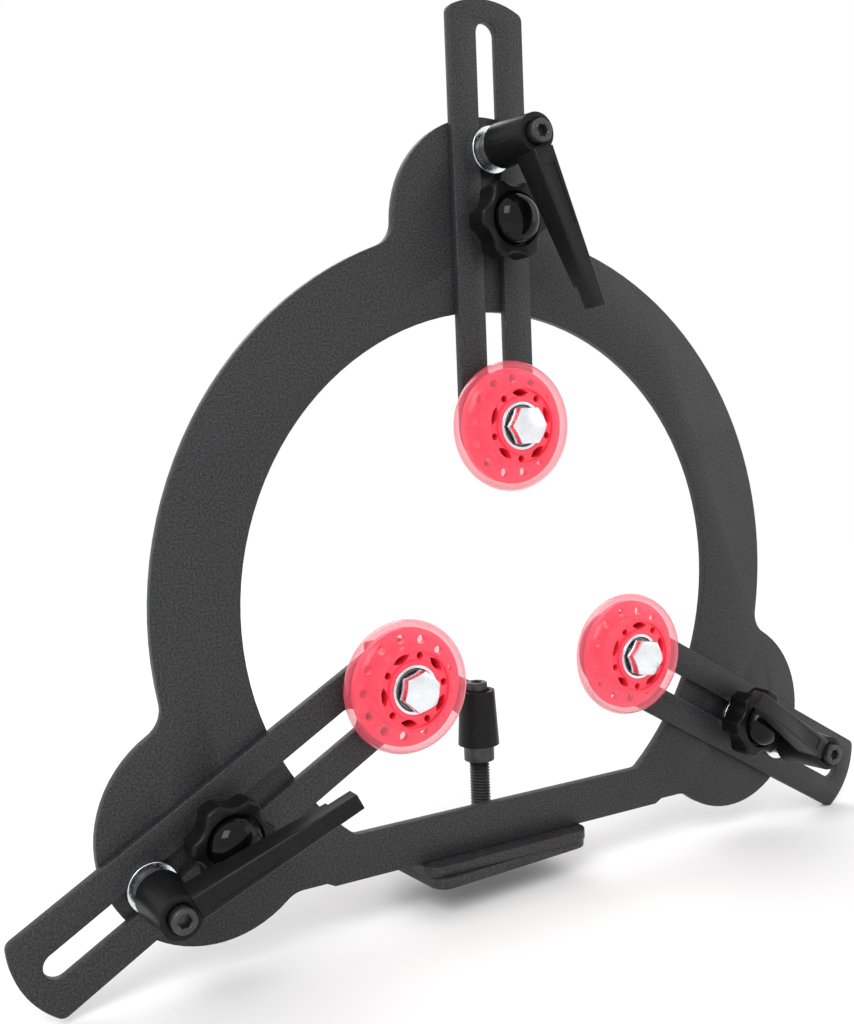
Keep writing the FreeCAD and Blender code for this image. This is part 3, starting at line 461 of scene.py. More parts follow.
def ring_of_teeth_rule() -> GeometryRule:
    """Small blocks set round a circle, as the teeth of a sleeve."""
    rule = GeometryRule("ring_of_teeth", {"Count": 16, "Radius": 6 * MM, "Width": 1.6 * MM,
                                          "Depth": 1.8 * MM, "Height": 3 * MM})
    count, radius, width, depth, height = (
        rule.given.outputs[label] for label in ("Count", "Radius", "Width", "Depth", "Height"))
    size = rule.node("ShaderNodeCombineXYZ", {0: depth, 1: width, 2: height})
    block = rule.node("GeometryNodeMeshCube", {"Size": size.outputs[0]})
    circle = rule.node("GeometryNodeMeshCircle", {"Vertices": count, "Radius": radius})
    number = rule.node("GeometryNodeInputIndex")
    step = rule.math("DIVIDE", math.tau, count)
    turn = rule.node("ShaderNodeCombineXYZ", {2: rule.math("MULTIPLY", number.outputs[0], step)})
    teeth = rule.node("GeometryNodeInstanceOnPoints", {"Points": circle.outputs[0],
                                                       "Instance": block.outputs[0],
                                                       "Rotation": turn.outputs[0]})
    rule.close(teeth.outputs[0])
    return rule


def pierced_disc_rule(name: str, shapes: Sequence[WindowShape]) -> GeometryRule:
    """Flat ring with circles of openings, as a wheel's web or flange.

    Args:
        name: name of the tree.
        shapes: openings that take turns round the ring.

    Returns:
        The rule, with a size for each shape.
    """
    rule = GeometryRule(name, {
        "Inner Radius": 13 * MM, "Outer Radius": 17 * MM, "Thickness": 15 * MM, "Pitch Radius": 15 * MM,
        "Count": 5, "Lens Length": 8.6 * MM, "Lens Height": 3.4 * MM, "Round Radius": 1.6 * MM})
    given = rule.given.outputs
    lines = rule.node("GeometryNodeJoinGeometry")
    for radius in (given["Outer Radius"], given["Inner Radius"]):
        edge = rule.node("GeometryNodeCurvePrimitiveCircle", {"Resolution": 96, "Radius": radius})
        rule.tree.links.new(edge.outputs[0], lines.inputs[0])
    step = rule.math("DIVIDE", math.tau, given["Count"])
    stations = rule.node("GeometryNodeMeshCircle",
                         {"Vertices": given["Count"], "Radius": given["Pitch Radius"]})
    number = rule.node("GeometryNodeInputIndex")
    turn = rule.node("ShaderNodeCombineXYZ", {2: rule.math("MULTIPLY", number.outputs[0], step)})
    for order, shape in enumerate(shapes):
        opening = rule.opening(shape)
        share = rule.math("MULTIPLY", step, order / len(shapes))
        offset = rule.node("ShaderNodeCombineXYZ", {2: share})
        places = rule.node("GeometryNodeInstanceOnPoints", {
            "Points": stations.outputs[0], "Instance": opening, "Rotation": turn.outputs[0]})
        turned = rule.node("GeometryNodeTransform", {"Geometry": places.outputs[0],
                                                     "Rotation": offset.outputs[0]})
        rule.tree.links.new(turned.outputs[0], lines.inputs[0])
    real = rule.node("GeometryNodeRealizeInstances", {0: lines.outputs[0]})
    face = rule.node("GeometryNodeFillCurve", {0: real.outputs[0]})
    lower = rule.moved(face.outputs[0], rule.math("MULTIPLY", given["Thickness"], -0.5))
    upward = rule.node("ShaderNodeCombineXYZ", {2: 1.0})
    walls = rule.node("GeometryNodeExtrudeMesh", {
        "Mesh": lower, "Offset": upward.outputs[0], "Offset Scale": given["Thickness"],
        "Individual": False})
    back = rule.node("GeometryNodeFlipFaces", {0: lower})
    both = rule.node("GeometryNodeJoinGeometry")
    for half in (walls, back):
        rule.tree.links.new(half.outputs[0], both.inputs[0])
    whole = rule.node("GeometryNodeMergeByDistance", {"Geometry": both.outputs[0], "Distance": 1e-6})
    rule.close(whole.outputs[0])
    return rule


def weld_bead_rule() -> GeometryRule:
    """Weld bead along X: overlapping flat drops in a row, centred on the origin."""
    rule = GeometryRule("weld_bead", {"Length": 70 * MM, "Radius": 3 * MM, "Drops": 40, "Unevenness": 0.1})
    length, radius, drops, uneven = (
        rule.given.outputs[label] for label in ("Length", "Radius", "Drops", "Unevenness"))
    start = rule.node("ShaderNodeCombineXYZ", {0: rule.math("MULTIPLY", length, -0.5)})
    end = rule.node("ShaderNodeCombineXYZ", {0: rule.math("MULTIPLY", length, 0.5)})
    line = rule.node("GeometryNodeMeshLine", {"Count": drops, "Start Location": start.outputs[0],
                                              "Offset": end.outputs[0]}, mode="END_POINTS")
    drop = rule.node("GeometryNodeMeshUVSphere", {"Segments": 20, "Rings": 12, "Radius": radius})
    chance = rule.node("FunctionNodeRandomValue", {"Seed": 7}, data_type="FLOAT")
    size = rule.math("SUBTRACT", 1.0, rule.math("MULTIPLY", chance.outputs[1], uneven))
    flatness = 0.7
    scale = rule.node("ShaderNodeCombineXYZ", {0: flatness, 1: size, 2: size})
    row = rule.node("GeometryNodeInstanceOnPoints", {"Points": line.outputs[0], "Instance": drop.outputs[0],
                                                     "Scale": scale.outputs[0]})
    rule.close(row.outputs[0])
    return rule


# ---------------------------------------------------------------- finishes

@dataclass(frozen=True)
class Grain:
    """Fine surface texture: how many grains to the metre, how strongly they show, and how deep they are."""

    scale: float
    strength: float
    depth: float


class Finish:
    """A finish that is built into a material once and then shared by the pieces that wear it."""

    name: str

    def material(self) -> bpy.types.Material:
        """Build the material, or give the one already built."""
        made = bpy.data.materials.get(self.name)
        if made is None:
            made = bpy.data.materials.new(self.name)
            made.use_nodes = True
            made.node_tree.nodes.clear()
            self.paint(Tree(made.node_tree))
        return made

    def paint(self, tree: Tree) -> None:
        """Build the finish's nodes."""
        raise NotImplementedError

    @staticmethod
    def place(tree: Tree) -> bpy.types.NodeSocket:
        """Position on the object, in metres."""
        return tree.node("ShaderNodeTexCoord").outputs["Object"]

    @staticmethod
    def end(tree: Tree, shader: bpy.types.Node) -> None:
        """Plug the shader into the material's output."""
        tree.node("ShaderNodeOutputMaterial", {"Surface": shader.outputs[0]})

    @staticmethod
    def varied(tree: Tree, place: bpy.types.NodeSocket, scale: float, low: float,
               high: float) -> bpy.types.NodeSocket:
        """A number that wanders between two values over the surface.

        Args:
            tree: tree to add to.
            place: position socket.
            scale: patches to the metre.
            low: lowest value.
            high: highest value.

        Returns:
            The number's output.
        """
        noise = tree.node("ShaderNodeTexNoise", {"Vector": place, "Scale": scale, "Detail": 4.0})
        ramp = tree.node("ShaderNodeMapRange", {"Value": noise.outputs[0], "From Min": 0.3, "From Max": 0.7,
                                                "To Min": low, "To Max": high})
        return ramp.outputs[0]

    @staticmethod
    def toned(tree: Tree, share: bpy.types.NodeSocket, first: Sequence[float],
              second: Sequence[float]) -> bpy.types.NodeSocket:
        """A colour between two colours, by a share from 0 to 1."""
        mix = tree.node("ShaderNodeMix", {"Factor": share}, data_type="RGBA")
        mix.inputs["A"].default_value = (*first, 1)
        mix.inputs["B"].default_value = (*second, 1)
        return mix.outputs["Result"]

    @staticmethod
    def grained(tree: Tree, place: bpy.types.NodeSocket, grain: Grain) -> bpy.types.NodeSocket:
        """A surface normal roughened by the grain."""
        noise = tree.node("ShaderNodeTexNoise", {"Vector": place, "Scale": grain.scale, "Detail": 3.0,
                                                 "Roughness": 0.6})
        bump = tree.node("ShaderNodeBump", {"Height": noise.outputs[0], "Strength": grain.strength,
                                            "Distance": grain.depth})
        return bump.outputs[0]


@dataclass(frozen=True)
class PowderCoat(Finish):
    """Baked black powder: fine pebbled texture, a little paler where the coat is thin."""

    name: str = "black_powder_coat"
    tone: tuple[float, float, float] = (0.003, 0.003, 0.004)
    thin_tone: tuple[float, float, float] = (0.046, 0.046, 0.048)
    roughness: tuple[float, float] = (0.42, 0.54)
    grain: Grain = Grain(1500, 0.35, 0.06 * MM)
    speckle: float = 1100
    shine: float = 0.32

    def paint(self, tree: Tree) -> None:
        """Build the finish's nodes."""
        place = self.place(tree)
        patches = self.varied(tree, place, self.speckle, 0.0, 1.0)
        colour = self.toned(tree, patches, self.tone, self.thin_tone)
        rough = self.varied(tree, place, 45, *self.roughness)
        shader = tree.node("ShaderNodeBsdfPrincipled", {
            "Base Color": colour, "Roughness": rough, "IOR": 1.5, "Specular IOR Level": self.shine,
            "Normal": self.grained(tree, place, self.grain)})
        self.end(tree, shader)


@dataclass(frozen=True)
class BareMetal(Finish):
    """Metal with faint working marks and a tone that wanders a little."""

    name: str
    tone: tuple[float, float, float]
    far_tone: tuple[float, float, float]
    roughness: tuple[float, float]
    grain: Grain
    metallic: float = 1.0

    def paint(self, tree: Tree) -> None:
        """Build the finish's nodes."""
        place = self.place(tree)
        colour = self.toned(tree, self.varied(tree, place, 260, 0.0, 1.0), self.tone, self.far_tone)
        shader = tree.node("ShaderNodeBsdfPrincipled", {
            "Base Color": colour, "Metallic": self.metallic,
            "Roughness": self.varied(tree, place, 700, *self.roughness),
            "Normal": self.grained(tree, place, self.grain)})
        self.end(tree, shader)


@dataclass(frozen=True)
class Moulding(Finish):
    """Opaque moulded plastic with a fine or a polished skin."""

    name: str
    tone: tuple[float, float, float]
    far_tone: tuple[float, float, float]
    roughness: tuple[float, float]
    grain: Grain
    coat: float = 0.0
    shine: float = 0.5

    def paint(self, tree: Tree) -> None:
        """Build the finish's nodes."""
        place = self.place(tree)
        colour = self.toned(tree, self.varied(tree, place, 200, 0.0, 1.0), self.tone, self.far_tone)
        shader = tree.node("ShaderNodeBsdfPrincipled", {
            "Base Color": colour, "Roughness": self.varied(tree, place, 320, *self.roughness),
            "IOR": 1.5, "Specular IOR Level": self.shine,
            "Coat Weight": self.coat, "Coat Roughness": 0.03,
            "Normal": self.grained(tree, place, self.grain)})
        self.end(tree, shader)


@dataclass(frozen=True)
class ClearMoulding(Finish):
    """See-through tinted moulding, clearest where it is looked at squarely."""

    name: str
    tone: tuple[float, float, float]
    far_tone: tuple[float, float, float]
    roughness: tuple[float, float]
    veil: tuple[float, float]
    grain: Grain

    def paint(self, tree: Tree) -> None:
        """Build the finish's nodes."""
        place = self.place(tree)
        colour = self.toned(tree, self.varied(tree, place, 120, 0.0, 1.0), self.tone, self.far_tone)
        facing = tree.node("ShaderNodeLayerWeight", {"Blend": 0.5}).outputs["Facing"]
        thickness = tree.node("ShaderNodeMapRange", {"Value": facing, "To Min": self.veil[0],
                                                     "To Max": self.veil[1]}).outputs[0]
        shader = tree.node("ShaderNodeBsdfPrincipled", {
            "Base Color": colour, "Roughness": self.varied(tree, place, 150, *self.roughness),
            "IOR": 1.46, "Alpha": thickness, "Coat Weight": 0.5, "Coat Roughness": 0.05,
            "Normal": self.grained(tree, place, self.grain)})
        self.end(tree, shader)


POWDER = PowderCoat()
LEVER_COAT = PowderCoat("lever_satin_coat", (0.002, 0.002, 0.002), (0.012, 0.012, 0.013), (0.34, 0.44),
                        Grain(2200, 0.22, 0.04 * MM), 1600, 0.16)
ZINC = BareMetal("bright_zinc", (0.84, 0.85, 0.87), (0.74, 0.76, 0.80), (0.16, 0.30),
                 Grain(1400, 0.12, 0.03 * MM))
HARD_STEEL = BareMetal("ground_bearing_steel", (0.80, 0.80, 0.81), (0.72, 0.72, 0.74), (0.10, 0.18),
                       Grain(3000, 0.06, 0.02 * MM))
SHIELD_STEEL = BareMetal("pressed_shield_steel", (0.20, 0.20, 0.21), (0.15, 0.15, 0.16), (0.24, 0.34),
                         Grain(2400, 0.10, 0.02 * MM))
BLACK_OXIDE = BareMetal("black_oxide_steel", (0.045, 0.045, 0.048), (0.07, 0.068, 0.066), (0.30, 0.42),
                        Grain(2600, 0.15, 0.03 * MM), 0.75)
SPRING_WIRE = BareMetal("drawn_spring_wire", (0.50, 0.50, 0.52), (0.40, 0.40, 0.42), (0.20, 0.30),
                        Grain(3000, 0.08, 0.02 * MM))
KNOB_SKIN = Moulding("knob_moulding", (0.003, 0.003, 0.003), (0.006, 0.006, 0.006), (0.26, 0.34),
                     Grain(1800, 0.12, 0.03 * MM), 0.0, 0.2)
CAP_SKIN = Moulding("polished_cap", (0.002, 0.002, 0.002), (0.004, 0.004, 0.004), (0.06, 0.10),
                    Grain(600, 0.02, 0.02 * MM), 0.0, 0.18)
RED_CORE = Moulding("red_wheel_core", (1.0, 0.055, 0.10), (0.95, 0.035, 0.075), (0.30, 0.42),
                    Grain(500, 0.05, 0.03 * MM), 0.15)
CLEAR_TYRE = ClearMoulding("clear_pink_tyre", (1.0, 0.16, 0.24), (1.0, 0.13, 0.20), (0.10, 0.18),
                           (0.26, 0.72), Grain(260, 0.04, 0.05 * MM))


# ---------------------------------------------------------------- pieces

class Slot(Enum):
    """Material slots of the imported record."""

    BLACK_COAT = "black_coat"
    LEVER_COAT = "lever_coat"
    BLACK_STEEL = "black_steel"
    SPRING_STEEL = "spring_steel"
    ZINC = "zinc"
    BEARING_STEEL = "bearing_steel"
    KNOB = "knob_plastic"
    KNOB_CAP = "knob_cap_plastic"
    CORE = "core_red"
    TYRE = "tyre_clear"


def add_piece(name: str, mesh: bpy.types.Mesh, body: str, slot: Slot, finish: Finish,
              replaces: Sequence[str] = ()) -> bpy.types.Object:
    """Put a finished mesh into the scene.

    Args:
        name: name of the piece.
        mesh: its mesh, already in its place.
        body: body of the frame that it rides on.
        slot: record slot of its finish; not used.
        finish: what it is coated with or made of.
        replaces: solids of the frame that it stands for.

    Returns:
        The new object.
    """
    mesh.name = name
    mesh.materials.clear()
    mesh.materials.append(finish.material())
    mesh.shade_smooth()
    mesh.set_sharp_from_angle(angle=SHARP_ANGLE)
    piece = bpy.data.objects.new(name, mesh)
    bpy.context.scene.collection.objects.link(piece)
    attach(piece, body)
    if replaces:
        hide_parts(*replaces)
    log.info("%s on %s, %d faces", name, body, len(mesh.polygons))
    return piece


def coat_solid(node: str, finish: Finish) -> None:
    """Give a solid of the frame its finish."""
    mesh = frame["nodes"][node].data
    mesh.materials.clear()
    mesh.materials.append(finish.material())


def span(node: str, axis: Vector) -> tuple[float, float]:
    """Where a solid starts and ends along an axis of the frame."""
    low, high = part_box(node)
    ends = sorted((low.dot(axis), high.dot(axis)))
    return ends[0], ends[1]


@dataclass(frozen=True)
class Station:
    """One of the three arms, with how far its roller's windows and its bolt head are turned."""

    name: str
    turn: float
    window_turn: float
    bolt_turn: float

    def node(self, piece: str) -> str:
        """Name of one of the station's solids or bodies."""
        return f"{self.name}_{piece}"

    def seat(self, joint: str, heading: float | None = None) -> Matrix:
        """Place of a piece on the axis of one of the station's joints, its Z axis towards the front."""
        origin = Vector(JOINTS[self.node(joint)]["pos_m"])
        turn = self.turn if heading is None else heading
        return seat((origin.x, 0, origin.z), FORWARD, turned_heading(turn))


STATIONS = (Station("top", 0, 1, 0), Station("left", -120, 49, -18), Station("right", 120, -68, 10))
SLOT_AXES = ("lever_turn", "knob_turn")


@dataclass
class Hexagon:
    """Hexagon nuts and bolt heads, with their corners turned off in a cone."""

    across_flats: float = 16 * MM
    crown_share: float = 0.925
    crown_slope: float = math.tan(math.radians(30))
    seat_share: float = 0.92
    seat_height: float = 0.35 * MM
    corner_ease: float = 0.15 * MM
    thread_lead: float = 0.6 * MM
    sides: int = 144

    def reach(self, angle: float) -> float:
        """Distance from the axis to the hexagon's side at an angle, a corner standing at 0."""
        sixth = math.tau / 6
        return self.across_flats / 2 / math.cos(angle % sixth - sixth / 2)

    def drop(self, angle: float) -> float:
        """How far the cone has fallen where it meets the hexagon's side."""
        return (self.reach(angle) - self.across_flats / 2 * self.crown_share) * self.crown_slope

    def head(self, height: float) -> bpy.types.Mesh:
        """Bolt head that stands on the origin."""
        flats = self.across_flats / 2
        crown = flats * self.crown_share
        foot = flats * self.seat_share
        ease = self.corner_ease
        layers = [
            (lambda angle: foot, lambda angle: 0.0),
            (lambda angle: foot, lambda angle: self.seat_height),
            (lambda angle: self.reach(angle) - ease, lambda angle: self.seat_height),
            (self.reach, lambda angle: self.seat_height + ease),
            (self.reach, lambda angle: height - self.drop(angle) - ease),
            (lambda angle: self.reach(angle) - ease / 2, lambda angle: height - self.drop(angle)),
            (lambda angle: crown, lambda angle: height - ease / 2),
            (lambda angle: crown - ease * 1.5, lambda angle: height),
        ]
        return polar_mesh("bolt_head", layers, self.sides)

    def nut(self, bore: float, height: float) -> bpy.types.Mesh:
        """Nut that stands on the origin, with a cone at both ends."""
        crown = self.across_flats / 2 * self.crown_share
        lead = self.thread_lead
        layers = [
            (lambda angle: bore, lambda angle: lead),
            (lambda angle: bore + lead, lambda angle: 0.0),
            (lambda angle: crown, lambda angle: 0.0),
            (self.reach, self.drop),
            (self.reach, lambda angle: height - self.drop(angle)),
            (lambda angle: crown, lambda angle: height),
            (lambda angle: bore + lead, lambda angle: height),
            (lambda angle: bore, lambda angle: height - lead),
        ]
        return polar_mesh("nut", layers, self.sides, hollow=True)


@dataclass
class Plates:
    """Ring plate, foot plate, clamp plate and the three slotted arms, all cut from coated plate."""

    edge: float = 0.55 * MM
    weld_drops: int = 46
    weld_share: float = 0.98
    weld_unevenness: float = 0.12

    def build(self) -> None:
        """Build the plates with eased edges, and the weld under the ring."""
        for node, body in (("ring_plate", "frame"), ("foot_plate", "frame"), ("clamp_plate", "bed_clamp")):
            add_piece(node + "_cut", softened_copy(node, self.edge), body, Slot.BLACK_COAT, POWDER, [node])
        for station in STATIONS:
            node = station.node("arm")
            add_piece(node + "_bar", softened_copy(node, self.edge), station.node("arm_body"),
                      Slot.BLACK_COAT, POWDER, [node])
        self.build_weld()

    def build_weld(self) -> None:
        """Run the weld bead along the corner between the ring and its foot."""
        low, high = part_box("foot_weld")
        bead = weld_bead_rule().mesh("foot_weld_bead", POWDER.material(),
                                     Length=(high.x - low.x) * self.weld_share, Radius=high.y - low.y,
                                     Drops=self.weld_drops, Unevenness=self.weld_unevenness)
        bead.transform(Matrix.Translation(((low.x + high.x) / 2, low.y, low.z)))
        add_piece("foot_weld_bead", bead, "frame", Slot.BLACK_COAT, POWDER, ["foot_weld"])


@dataclass
class Fasteners:
    """Washers and weld nuts of the studs that clamp the arms."""

    hexagon: Hexagon
    washer_radius: float = 10.75 * MM
    bore: float = 5.1 * MM
    edge: float = 0.35 * MM

    def build(self) -> None:
        """Build the washers in front of the arms and the nuts behind the ring."""
        low, high = span("slot_washers", FORWARD)
        nut_low, nut_high = span("weld_nuts", FORWARD)
        washer = turned_mesh("washer", eased([(self.bore, low), (self.washer_radius, low),
                                              (self.washer_radius, high), (self.bore, high)], self.edge))
        nut = self.hexagon.nut(self.bore, nut_high - nut_low)
        nut.transform(Matrix.Translation((0, 0, nut_low)))
        places = [station.seat(joint) for station in STATIONS for joint in SLOT_AXES]
        add_piece("stud_washers", joined_mesh("stud_washers", [(washer, place) for place in places]),
                  "frame", Slot.ZINC, ZINC, ["slot_washers"])
        add_piece("stud_nuts", joined_mesh("stud_nuts", [(nut, place) for place in places]),
                  "frame", Slot.ZINC, ZINC, ["weld_nuts"])


@dataclass
class Axle:
    """Bolt, nut, washers and inner bearing rings that carry a roller on its arm."""

    station: Station
    hexagon: Hexagon
    thread: GeometryRule
    shank_radius: float = 5 * MM
    clearance: float = 0.05 * MM
    thread_pitch: float = 1.5 * MM
    washer_thickness: float = 0.8 * MM
    ring_wall: float = 1.5 * MM
    bearing_width: float = 6 * MM
    edge: float = 0.2 * MM

    def build(self) -> None:
        """Build the pieces that stand still while the roller turns."""
        station = self.station
        body = station.node("arm_body")
        place = station.seat("wheel_spin")
        low, high = span(station.node("axle_bolt"), FORWARD)
        nut_low, nut_high = span(station.node("axle_nut"), FORWARD)
        washers_low, washers_high = span(station.node("axle_washers"), FORWARD)
        bore = self.shank_radius + self.clearance

        head = self.hexagon.head(high - washers_high)
        head.transform(Matrix.Translation((0, 0, washers_high)))
        shank_profile = [(0, nut_high), (self.shank_radius, nut_high), (self.shank_radius, washers_high),
                         (0, washers_high)]
        shank = turned_mesh("shank", eased(shank_profile, self.edge))
        tail = self.thread.mesh("tail", ZINC.material(), Radius=self.shank_radius, Pitch=self.thread_pitch,
                                Length=nut_high - low)
        tail.transform(Matrix.Translation((0, 0, low)))
        bolt_turn = Matrix.Rotation(-math.radians(station.bolt_turn), 4, "Z")
        bolt = joined_mesh("bolt", [(head, bolt_turn), (shank, Matrix()), (tail, Matrix())])
        bolt.transform(place)
        add_piece(station.node("hex_bolt"), bolt, body, Slot.ZINC, ZINC, [station.node("axle_bolt")])

        nut = self.hexagon.nut(bore, nut_high - nut_low)
        nut.transform(place @ Matrix.Translation((0, 0, nut_low)))
        add_piece(station.node("hex_nut"), nut, body, Slot.ZINC, ZINC, [station.node("axle_nut")])

        arm_high = span(station.node("arm"), FORWARD)[1]
        thick = self.washer_thickness
        ring_radius = bore + self.ring_wall
        rings = []
        for start, radius in ((washers_low, self.hexagon.across_flats / 2), (arm_high, ring_radius),
                              (washers_high - thick, ring_radius)):
            profile = [(bore, start), (radius, start), (radius, start + thick), (bore, start + thick)]
            rings.append((turned_mesh("thin_washer", eased(profile, self.edge)), place))
        add_piece(station.node("thin_washers"), joined_mesh("thin_washers", rings), body, Slot.ZINC, ZINC,
                  [station.node("axle_washers")])

        races_low, races_high = span(station.node("axle_rings"), FORWARD)
        races = []
        for start in (races_low, races_high - self.bearing_width):
            end = start + self.bearing_width
            profile = [(bore, start), (ring_radius, start), (ring_radius, end), (bore, end)]
            races.append((turned_mesh("inner_race", eased(profile, self.edge)), place))
        add_piece(station.node("inner_races"), joined_mesh("inner_races", races), body,
                  Slot.ZINC, HARD_STEEL, [station.node("axle_rings")])
        coat_solid(station.node("axle_tube"), ZINC)


@dataclass
class Roller:
    """Skate wheel of a station: red pierced core, clear tyre and two shielded bearings."""

    station: Station
    web: GeometryRule
    flange: GeometryRule
    bearing_radius: float = 11 * MM
    bearing_width: float = 6 * MM
    race_wall: float = 1.5 * MM
    shield_lip: float = 6.85 * MM
    hub_wall: float = 2 * MM
    web_inset: float = 1.2 * MM
    rim_radius: float = 18.6 * MM
    rim_wall: float = 1.6 * MM
    flange_radius: float = 26.5 * MM
    flange_thickness: float = 3 * MM
    anchor_count: int = 13
    anchor_circle: float = 21.8 * MM
    anchor_radius: float = 2.1 * MM
    bite: float = 0.15 * MM
    crown_steps: int = 28
    shield_dip: float = 0.35 * MM
    shield_fold: float = 0.55 * MM
    shield_edge: float = 0.12 * MM
    edge: float = 0.3 * MM

    def build(self) -> None:
        """Build core, tyre and bearings."""
        station = self.station
        body = station.node("wheel")
        place = station.seat("wheel_spin", station.window_turn)
        low, high = span(station.node("wheel_core"), FORWARD)
        add_piece(station.node("pierced_core"), self.core_mesh(low, high, place), body, Slot.CORE, RED_CORE,
                  [station.node("wheel_core")])
        add_piece(station.node("clear_tyre"), self.tyre_mesh(place), body, Slot.TYRE, CLEAR_TYRE,
                  [station.node("tyre")])
        races, shields = self.bearing_meshes(low, high, place)
        add_piece(station.node("outer_races"), races, body, Slot.BEARING_STEEL, HARD_STEEL,
                  [station.node("bearings")])
        add_piece(station.node("bearing_shields"), shields, body, Slot.BEARING_STEEL, SHIELD_STEEL)

    def core_mesh(self, low: float, high: float, place: Matrix) -> bpy.types.Mesh:
        """Hub, pierced web, rim and the drilled flange that holds the tyre."""
        hub = self.bearing_radius + self.hub_wall
        rim_inside = self.rim_radius - self.rim_wall
        material = RED_CORE.material()
        seat_depth = self.bearing_width
        shoulder = self.bearing_radius - self.race_wall
        hub_profile = [(self.bearing_radius, low), (hub, low), (hub, high), (self.bearing_radius, high),
                       (self.bearing_radius, high - seat_depth), (shoulder, high - seat_depth),
                       (shoulder, low + seat_depth), (self.bearing_radius, low + seat_depth)]
        rim_profile = [(rim_inside, low), (self.rim_radius + self.bite, low),
                       (self.rim_radius + self.bite, high), (rim_inside, high)]
        web = self.web.mesh("web", material, Inner_Radius=hub - self.bite,
                            Outer_Radius=rim_inside + self.bite, Thickness=high - low - self.web_inset * 2,
                            Pitch_Radius=(hub + rim_inside) / 2)
        flange = self.flange.mesh("flange", material, Inner_Radius=self.rim_radius - self.bite,
                                  Outer_Radius=self.flange_radius,
                                  Thickness=self.flange_thickness,
                                  Pitch_Radius=self.anchor_circle,
                                  Count=self.anchor_count, Round_Radius=self.anchor_radius)
        middle = Matrix.Translation((0, 0, (low + high) / 2))
        first_opening = Matrix.Rotation(math.radians(90), 4, "Z")
        parts = [(turned_mesh("hub", eased(hub_profile, self.edge)), Matrix()),
                 (turned_mesh("rim", eased(rim_profile, self.edge)), Matrix()),
                 (web, middle @ first_opening), (flange, middle @ first_opening)]
        mesh = joined_mesh("core", parts)
        mesh.transform(place)
        return mesh

    def tyre_mesh(self, place: Matrix) -> bpy.types.Mesh:
        """Tyre with a round crown."""
        box_low, box_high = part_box(self.station.node("tyre"))
        outer = (box_high.x - box_low.x) / 2
        tyre_low, tyre_high = span(self.station.node("tyre"), FORWARD)
        crown = (tyre_high - tyre_low) / 2
        arc = arc_profile((outer - crown, tyre_high), (outer - crown, tyre_low), crown, self.crown_steps)
        profile = [(self.rim_radius, tyre_low), *reversed(arc), (self.rim_radius, tyre_high)]
        mesh = turned_mesh("tyre", profile, sides=144)
        mesh.transform(place)
        return mesh

    def bearing_meshes(self, low: float, high: float,
                       place: Matrix) -> tuple[bpy.types.Mesh, bpy.types.Mesh]:
        """Outer races and pressed shields of both bearings."""
        inside = self.bearing_radius - self.race_wall
        races = []
        shields = []
        for start in (low, high - self.bearing_width):
            end = start + self.bearing_width
            race = [(inside, start), (self.bearing_radius, start), (self.bearing_radius, end), (inside, end)]
            races.append((turned_mesh("race", eased(race, self.edge)), place))
            near, far, fold = start + self.shield_dip, end - self.shield_dip, self.shield_fold
            shield = [(self.shield_lip, near), (inside - fold, near), (inside, start + fold * 2),
                      (inside, end - fold * 2), (inside - fold, far), (self.shield_lip, far)]
            shields.append((turned_mesh("shield", eased(shield, self.shield_edge)), place))
        return joined_mesh("races", races), joined_mesh("shields", shields)


